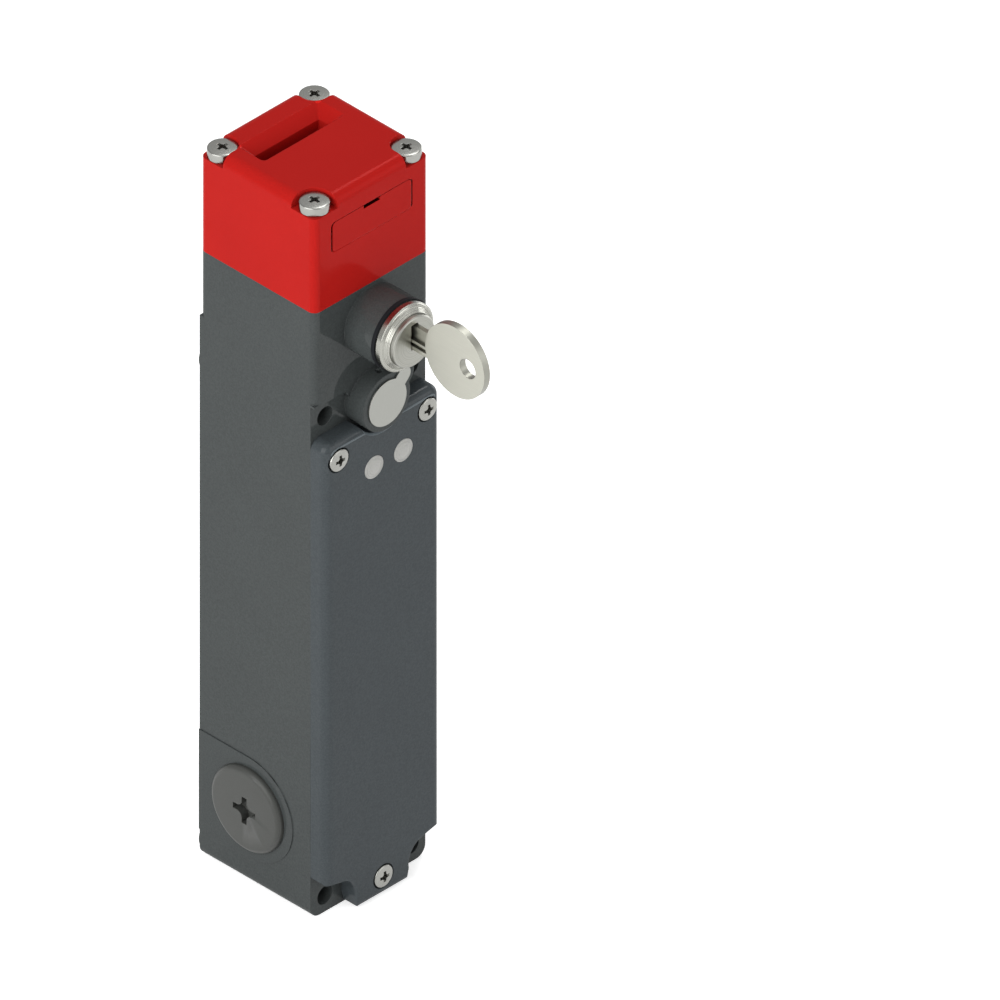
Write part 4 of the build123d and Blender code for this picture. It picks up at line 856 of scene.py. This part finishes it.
class SWITCH_OT_head(bpy.types.Operator):
    """Enamel the head and the cap of its front slot"""

    bl_idname = "switch.head"
    bl_label = "Head"

    def execute(self, context):
        paint = context.scene.switch_enamel
        red = enamel(
            "head_enamel",
            paint.head_colour,
            paint,
            speck=0.02,
            roughness=0.13,
            depth=0.04,
            gloss=0.025,
            metallic=0.03,
            coat=0.0,
            edge_highlight=0.3,
        )
        # Painted shade, near black, on the slot walls seen through the cap's joint and in the cap's notch.
        paint_shade_dark(red, tone(paint.head_colour, 0.04))
        head = whole_copy("head_casting", "head_shell")
        round_notch_rims(head, paint.rim_radius)
        head = round_edges(head, paint.edge_radius)
        mark_notch_rims(head)
        mark_cap_walls(head)
        adopt(head, "head_casting", red)
        cap = whole_copy("front_slot_cap", "slot_cap")
        low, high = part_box("front_slot_cap")
        squeeze = 1 - 2 * paint.cap_gap / (high.x - low.x)
        shift = Matrix.Translation((0.05 * MM, 0, 0))
        cap.data.transform(shift @ Matrix.Diagonal((squeeze, 1, 1, 1)))
        cap = round_edges(cap, paint.edge_radius)
        # The cap's notch gets painted shade.
        notch = (low.y + 0.35 * MM, high.y - 0.5 * MM)
        mark_painted_shade(cap, lambda face: within(face.center.y, notch))
        adopt(cap, "front_slot_cap", red)
        return {"FINISHED"}


def seat_screws(name, node, model, seats, facing, tree, plate):
    """A set of screws in a node's place, a copy of the model on each seat."""
    made = grow(name, tree, seats, {"Piece": model, "Facing": facing, "Material": plate})
    adopt(made, node, plate)
    bpy.data.objects.remove(model)


class SWITCH_OT_screws(bpy.types.Operator):
    """Make the cross-recess screws of the head and the cover"""

    bl_idname = "switch.screws"
    bl_label = "Screws"

    def execute(self, context):
        screws = context.scene.switch_screws
        colour = context.scene.switch_metal.screw_colour
        plate = screw_metal("screw_plate", colour, pitch=0.16 * MM, roughness=0.24)
        tree = seated_copies_tree()

        inset = HEAD_SCREW_RADIUS
        rim = 2.62 * MM
        dome = 0.18 * MM
        low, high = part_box("head_screws")
        seat_z = high.z - rim - dome
        across = (low.x + inset, high.x - inset)
        along = (low.y + inset, high.y - inset)
        seats = [(x, y, seat_z) for x in across for y in along]
        model = cross_screw("head_screw_model", HEAD_SCREW_RADIUS, rim, dome, screws)
        seat_screws("head_screw_set", "head_screws", model, seats, (0, 0, 0), tree, plate)

        inset = COVER_SCREW_RADIUS
        rim = 1.7 * MM
        dome = 0.3 * MM
        gap = 0.15 * MM
        low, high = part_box("cover_screws")
        seat_y = low.y + rim + dome
        seats = [
            (low.x + inset, seat_y, high.z - inset),
            (high.x - inset, seat_y, high.z - inset),
            ((low.x + high.x) / 2, seat_y, low.z + inset),
        ]
        model = cross_screw("cover_screw_model", COVER_SCREW_RADIUS - gap, rim, dome, screws)
        seat_screws("cover_screw_set", "cover_screws", model, seats, (math.radians(90), 0, 0), tree, plate)
        return {"FINISHED"}


class SWITCH_OT_plugs(bpy.types.Operator):
    """Mould the plugs of the side entries"""

    bl_idname = "switch.plugs"
    bl_label = "Entry plugs"

    def execute(self, context):
        colour = context.scene.switch_moulded.plug_colour
        resin = moulded("plug_resin", colour, roughness=0.38, coat=0.06)
        for side in ("left", "right"):
            node = f"{side}_entry_plug"
            adopt(smooth(whole_copy(node, f"{side}_plug"), 30), node, resin)
        return {"FINISHED"}


def stepped_bezel(name):
    """The bezel turned about the lock's axis, its profile in mm: a band, a grooved lip and four fine steps."""
    low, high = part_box("lock_bezel")
    front = (high.y - low.y) / MM
    band_front = front - 1.4
    profile = [
        (5.85, 0.0),
        (7.9, 0.0),
        (7.9, front - 3.1),
        (9.28, front - 3.1),
        (9.4, front - 2.98),
        (9.4, band_front - 0.1),
        (9.33, band_front),
        (9.24, band_front - 0.06),
        (9.16, band_front + 0.1),
        (9.0, band_front + 0.24),
        (8.86, band_front + 0.33),
        (8.8, band_front + 0.27),
        (8.72, band_front + 0.39),
        (8.5, band_front + 0.45),
    ]
    steps = 4
    rise = 0.95 / steps
    run = 1.05 / steps
    for step in range(steps):
        radius = 8.5 - step * run
        height = band_front + 0.45 + step * rise
        profile += [(radius - 0.07, height - 0.09), (radius - run, height + rise)]
    profile += [(7.25, front), (7.25, front - 2.15), (5.85, front - 2.15)]
    bm = lathe([(radius * MM, height * MM) for radius, height in profile], 128, is_ring=True)
    return face_front(name, bm, "lock_bezel")


class SWITCH_OT_lock(bpy.types.Operator):
    """Finish the key lock and its key"""

    bl_idname = "switch.lock"
    bl_label = "Lock and key"

    def execute(self, context):
        metal = context.scene.switch_metal
        centre = node_centre("lock_bezel")
        bezel_plate = turned_metal("bezel_plate", metal.bezel_colour, centre, metal.turning_pitch, roughness=0.22)
        barrel_colour = tone(metal.bezel_colour, 0.86)
        barrel_plate = turned_metal("barrel_plate", barrel_colour, centre, metal.turning_pitch, roughness=0.34)
        key_plate = brushed_metal(
            "key_plate",
            metal.key_colour,
            stretch=(1, 0.05, 1),
            size=0.3 * MM,
            depth=0.0015 * MM,
            roughness=0.36,
            contrast=0.02,
        )
        adopt(smooth(stepped_bezel("bezel"), 24), "lock_bezel", bezel_plate)
        barrel = round_edges(whole_copy("lock_barrel", "barrel"), 0.12 * MM)
        adopt(barrel, "lock_barrel", barrel_plate)
        # Painted shade on the rim of the key's bow, the faces that don't face sideways.
        paint_shade_dark(key_plate, tone(metal.key_colour, 0.6))
        key = whole_copy("lock_key", "key")
        bow_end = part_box("lock_key")[0].y + KEY_BOW_LENGTH
        mark_painted_shade(key, lambda face: abs(face.normal.x) < 0.4 and face.center.y < bow_end)
        adopt(smooth(key, 30), "lock_key", key_plate)
        ring = moulded("ring_rubber", (0.010, 0.011, 0.013), roughness=0.6, gloss=0.1)
        adopt(smooth(whole_copy("lock_ring", "bezel_ring"), 30), "lock_ring", ring)
        return {"FINISHED"}


class SWITCH_OT_release(bpy.types.Operator):
    """Finish the seal plate over the tool release, and the screw under it"""

    bl_idname = "switch.release"
    bl_label = "Tool release"

    def execute(self, context):
        metal = context.scene.switch_metal
        plate = brushed_metal(
            "seal_plate_finish", metal.plate_colour, (1, 1, 1), size=0.2 * MM, depth=0.004 * MM, roughness=0.38
        )
        adopt(smooth(whole_copy("seal_plate", "seal_flap"), 30), "seal_plate", plate)
        centre = node_centre("release_screw")
        brass = turned_metal("release_brass", BRASS, centre, pitch=0.25 * MM, roughness=0.3)
        screw = smooth(whole_copy("release_screw", "release_slot_screw"), 30)
        adopt(screw, "release_screw", brass)
        return {"FINISHED"}


def ringed_lens(node, name):
    """A low dome with two faint rings, its profile in mm."""
    low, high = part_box(node)
    radius = (high.x - low.x) / 2 / MM
    top = (high.y - low.y) / MM
    profile = [(0, 0), (radius, 0), (radius, top - 0.62)]
    profile += [(radius - 0.05, top - 0.54), (radius - 0.14, top - 0.49)]
    for ring, depth in ((2.5, 0.13), (1.7, 0.07)):
        skin = top - 0.52 * (ring / radius) ** 2
        profile += [(ring + 0.15, skin - 0.03), (ring, skin - depth), (ring - 0.15, skin + 0.03)]
    profile += [(0.9, top - 0.035), (0, top)]
    return face_front(name, lathe([(reach * MM, height * MM) for reach, height in profile], 72), node)


class SWITCH_OT_lenses(bpy.types.Operator):
    """Finish the indicator lenses"""

    bl_idname = "switch.lenses"
    bl_label = "Lenses"

    def execute(self, context):
        colour = context.scene.switch_moulded.lens_colour
        resin = moulded("lens_resin", colour, roughness=0.3, depth=0.004 * MM, coat=0.15)
        for side in ("left", "right"):
            node = f"{side}_lens"
            adopt(smooth(ringed_lens(node, f"{side}_indicator"), 40), node, resin)
        return {"FINISHED"}


class SWITCH_OT_entry_thread(bpy.types.Operator):
    """Wind the thread into the bottom cable entry"""

    bl_idname = "switch.entry_thread"
    bl_label = "Entry thread"

    def execute(self, context):
        thread = context.scene.switch_thread
        mount = next(m for m in frame["record"]["mounts"] if m["name"] == "conduit_bottom")
        radius = mount["dims"]["r_mm"] * MM
        length = mount["dims"]["length_mm"] * MM - 2 * thread.pitch
        zinc = brushed_metal("bare_zinc", (0.42, 0.43, 0.44), (1, 1, 0.2), 0.4 * MM, 0.008 * MM, roughness=0.4)
        values = {
            "Radius": radius,
            "Length": length,
            "Turns": length / thread.pitch,
            "Ridge": thread.ridge,
            "Material": zinc,
        }
        ridge = grow("entry_thread", thread_tree(), [(0, 0, 0)], values)
        ridge.data.transform(Matrix.Translation((0, 0, thread.pitch)))
        ridge.data.shade_smooth()
        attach(ridge, "case")
        return {"FINISHED"}


class SWITCH_OT_inside(bpy.types.Operator):
    """Finish the pieces inside the case and the head"""

    bl_idname = "switch.inside"
    bl_label = "Inside"

    def execute(self, context):
        size = 0.4 * MM
        fine = 0.3 * MM
        depth = 0.006 * MM
        finishes = {
            "seal_rubber": moulded("seal_rubber", (0.012, 0.012, 0.012), 0.7),
            "inner_steel": brushed_metal("inner_steel", (0.52, 0.52, 0.52), (1, 1, 0.1), size, depth),
            "plunger_steel": brushed_metal("plunger_steel", (0.58, 0.58, 0.57), (1, 1, 0.05), fine, 0.004 * MM),
            "bush_brass": brushed_metal("bush_brass", BRASS, (1, 1, 1), size, depth),
            "brass_screw": brushed_metal("terminal_brass", BRASS, (1, 1, 1), size, depth),
            "drum_steel": brushed_metal("drum_steel", (0.3, 0.3, 0.31), (0.1, 1, 1), size, depth, roughness=0.42),
            "drum_resin": moulded("drum_resin", (0.60, 0.58, 0.50), 0.45),
            "block_resin": moulded("block_resin", (0.035, 0.04, 0.05), 0.5),
            "bobbin_resin": moulded("bobbin_resin", (0.03, 0.03, 0.03), 0.5),
            "coil_copper": brushed_metal("coil_winding", (0.48, 0.20, 0.09), (1, 1, 30), 2 * MM, 0.05 * MM),
            "board_green": moulded("board_mask", (0.01, 0.11, 0.04), 0.35, coat=0.2),
            "lamp_white": moulded("lamp_resin", (0.75, 0.75, 0.70), 0.3, coat=0.2),
        }
        for entry in frame["record"]["subparts"]:
            node = frame["nodes"][entry["node"]]
            if not node.hide_render:
                finish_node(entry["node"], finishes[entry["material_slot"]])
        return {"FINISHED"}


class SWITCH_OT_stage(bpy.types.Operator):
    """Set the floor, the soft light and the camera"""

    bl_idname = "switch.stage"
    bl_label = "Stage"

    def execute(self, context):
        scene = context.scene
        stage = scene.switch_stage
        floor_reach = 4.0
        floor_z = cad_low.z - 0.05 * MM
        bm = bmesh.new()
        bmesh.ops.create_grid(bm, x_segments=1, y_segments=1, size=floor_reach)
        bmesh.ops.translate(bm, verts=bm.verts, vec=(0, 0, floor_z))
        floor = new_piece("floor", bm)
        floor.data.materials.append(floor_material())
        light_sky(scene, stage.sky_strength)
        add_lamp("key_lamp", (-1.3, -0.1, 0.75), (1.3, 1.3), stage.key_power)
        add_lamp("fill_lamp", (0.5, -1.5, 0.7), (1.2, 1.2), stage.fill_power)
        add_lamp("top_lamp", (0.62, 0.23, 1.32), (0.5, 0.5), stage.top_power)
        add_lamp("edge_lamp", (-1.23, 0.43, 0.18), (0.06, 0.45), stage.edge_power)
        add_lamp("side_lamp", (1.2, 0.05, 0.24), (0.5, 0.5), stage.side_power)
        set_camera(scene, stage)
        scene.view_settings.view_transform = "Standard"
        return {"FINISHED"}


def set_camera(scene, stage):
    """A camera without perspective that looks at the switch from the chosen side."""
    turn = stage.azimuth
    rise = stage.elevation
    distance = 1.5
    sight = Vector((-math.sin(turn) * math.cos(rise), math.cos(turn) * math.cos(rise), -math.sin(rise)))
    camera = bpy.data.cameras.new("photo_camera")
    camera.type = "ORTHO"
    camera.ortho_scale = stage.frame_width
    camera.clip_end = 20
    eye = bpy.data.objects.new("photo_camera", camera)
    eye.location = Vector(stage.aim) - distance * sight
    eye.rotation_euler = sight.to_track_quat("-Z", "Y").to_euler()
    scene.collection.objects.link(eye)
    scene.camera = eye


def floor_material():
    """A pale matt floor that shows white and keeps the switch's shadow."""
    material, tree, shader = blank_material("floor_card")
    shader.inputs["Base Color"].default_value = (0.86, 0.86, 0.86, 1)
    shader.inputs["Roughness"].default_value = 1.0
    shader.inputs["Specular IOR Level"].default_value = 0.0
    path = tree.nodes.new("ShaderNodeLightPath").outputs
    seen = calculate(tree, "Seen or mirrored", "MAXIMUM", path["Is Camera Ray"], path["Is Glossy Ray"])
    through = calculate(tree, "Or through glass", "MAXIMUM", seen, path["Is Transmission Ray"])
    shader.inputs["Emission Color"].default_value = (1, 1, 1, 1)
    tree.links.new(calculate(tree, "Lift", "MULTIPLY", through, 0.62), shader.inputs["Emission Strength"])
    return material


def mix_lights(tree, factor, first, second):
    """A mix of two backgrounds."""
    mix = tree.nodes.new("ShaderNodeMixShader")
    for value, socket in zip((factor, first, second), mix.inputs):
        tree.links.new(value, socket)
    return mix.outputs["Shader"]


def light_sky(scene, strength):
    """An even sky for light, a white one for the camera, and a softer one for what is mirrored."""
    world = bpy.data.worlds.new("studio")
    world.use_nodes = True
    scene.world = world
    tree = world.node_tree
    even = tree.nodes["Background"]
    even.inputs["Color"].default_value = (1, 1, 1, 1)
    even.inputs["Strength"].default_value = strength
    white = add_node(tree, "ShaderNodeBackground", "White", Color=(1, 1, 1, 1))
    soft = tree.nodes.new("ShaderNodeBackground")
    place = tree.nodes.new("ShaderNodeTexCoord")
    split = tree.nodes.new("ShaderNodeSeparateXYZ")
    tree.links.new(place.outputs["Generated"], split.inputs["Vector"])
    height = shade_by(tree, split.outputs["Z"], (0.70, 0.70, 0.71), (1, 1, 1), low=0.0, high=0.55)
    depth = shade_by(tree, split.outputs["Y"], (1, 1, 1), (0.73, 0.73, 0.73), low=0.1, high=0.55)
    tree.links.new(mix_colours(tree, "Darker behind", 1.0, height, depth, "MULTIPLY"), soft.inputs["Color"])
    path = tree.nodes.new("ShaderNodeLightPath").outputs
    mirrored = calculate(tree, "Mirrored", "MAXIMUM", path["Is Glossy Ray"], path["Is Transmission Ray"])
    around = mix_lights(tree, mirrored, even.outputs["Background"], soft.outputs["Background"])
    seen = mix_lights(tree, path["Is Camera Ray"], around, white.outputs["Background"])
    tree.links.new(seen, tree.nodes["World Output"].inputs["Surface"])


def add_lamp(name, place, size, power):
    """A soft lamp of the given width and height that faces the middle of the switch."""
    lamp = bpy.data.lights.new(name, "AREA")
    lamp.shape = "RECTANGLE"
    lamp.size, lamp.size_y = size
    lamp.energy = power
    holder = bpy.data.objects.new(name, lamp)
    holder.location = place
    holder.rotation_euler = (node_centre("body_casting") - Vector(place)).to_track_quat("-Z", "Y").to_euler()
    bpy.context.scene.collection.objects.link(holder)


STEPS = (
    SWITCH_OT_case,
    SWITCH_OT_head,
    SWITCH_OT_screws,
    SWITCH_OT_plugs,
    SWITCH_OT_lock,
    SWITCH_OT_release,
    SWITCH_OT_lenses,
    SWITCH_OT_entry_thread,
    SWITCH_OT_inside,
    SWITCH_OT_stage,
)


class SWITCH_PT_steps(bpy.types.Panel):
    """The steps that dress the switch, in their order"""

    bl_label = "Guard locking switch"
    bl_space_type = "VIEW_3D"
    bl_region_type = "UI"
    bl_category = "Switch"

    def draw(self, context):
        for step in STEPS:
            self.layout.operator(step.bl_idname)


SETTINGS = {
    "switch_enamel": EnamelSettings,
    "switch_metal": MetalSettings,
    "switch_moulded": MouldedSettings,
    "switch_screws": ScrewSettings,
    "switch_thread": ThreadSettings,
    "switch_stage": StageSettings,
}


def register():
    for name, group in SETTINGS.items():
        bpy.utils.register_class(group)
        setattr(bpy.types.Scene, name, PointerProperty(type=group))
    for step in STEPS:
        bpy.utils.register_class(step)
    bpy.utils.register_class(SWITCH_PT_steps)


def unregister():
    bpy.utils.unregister_class(SWITCH_PT_steps)
    for step in reversed(STEPS):
        bpy.utils.unregister_class(step)
    for name, group in reversed(SETTINGS.items()):
        delattr(bpy.types.Scene, name)
        bpy.utils.unregister_class(group)


def main():
    register()
    for step in STEPS:
        group, name = step.bl_idname.split(".")
        getattr(getattr(bpy.ops, group), name)()


if __name__ == "__main__":
    main()
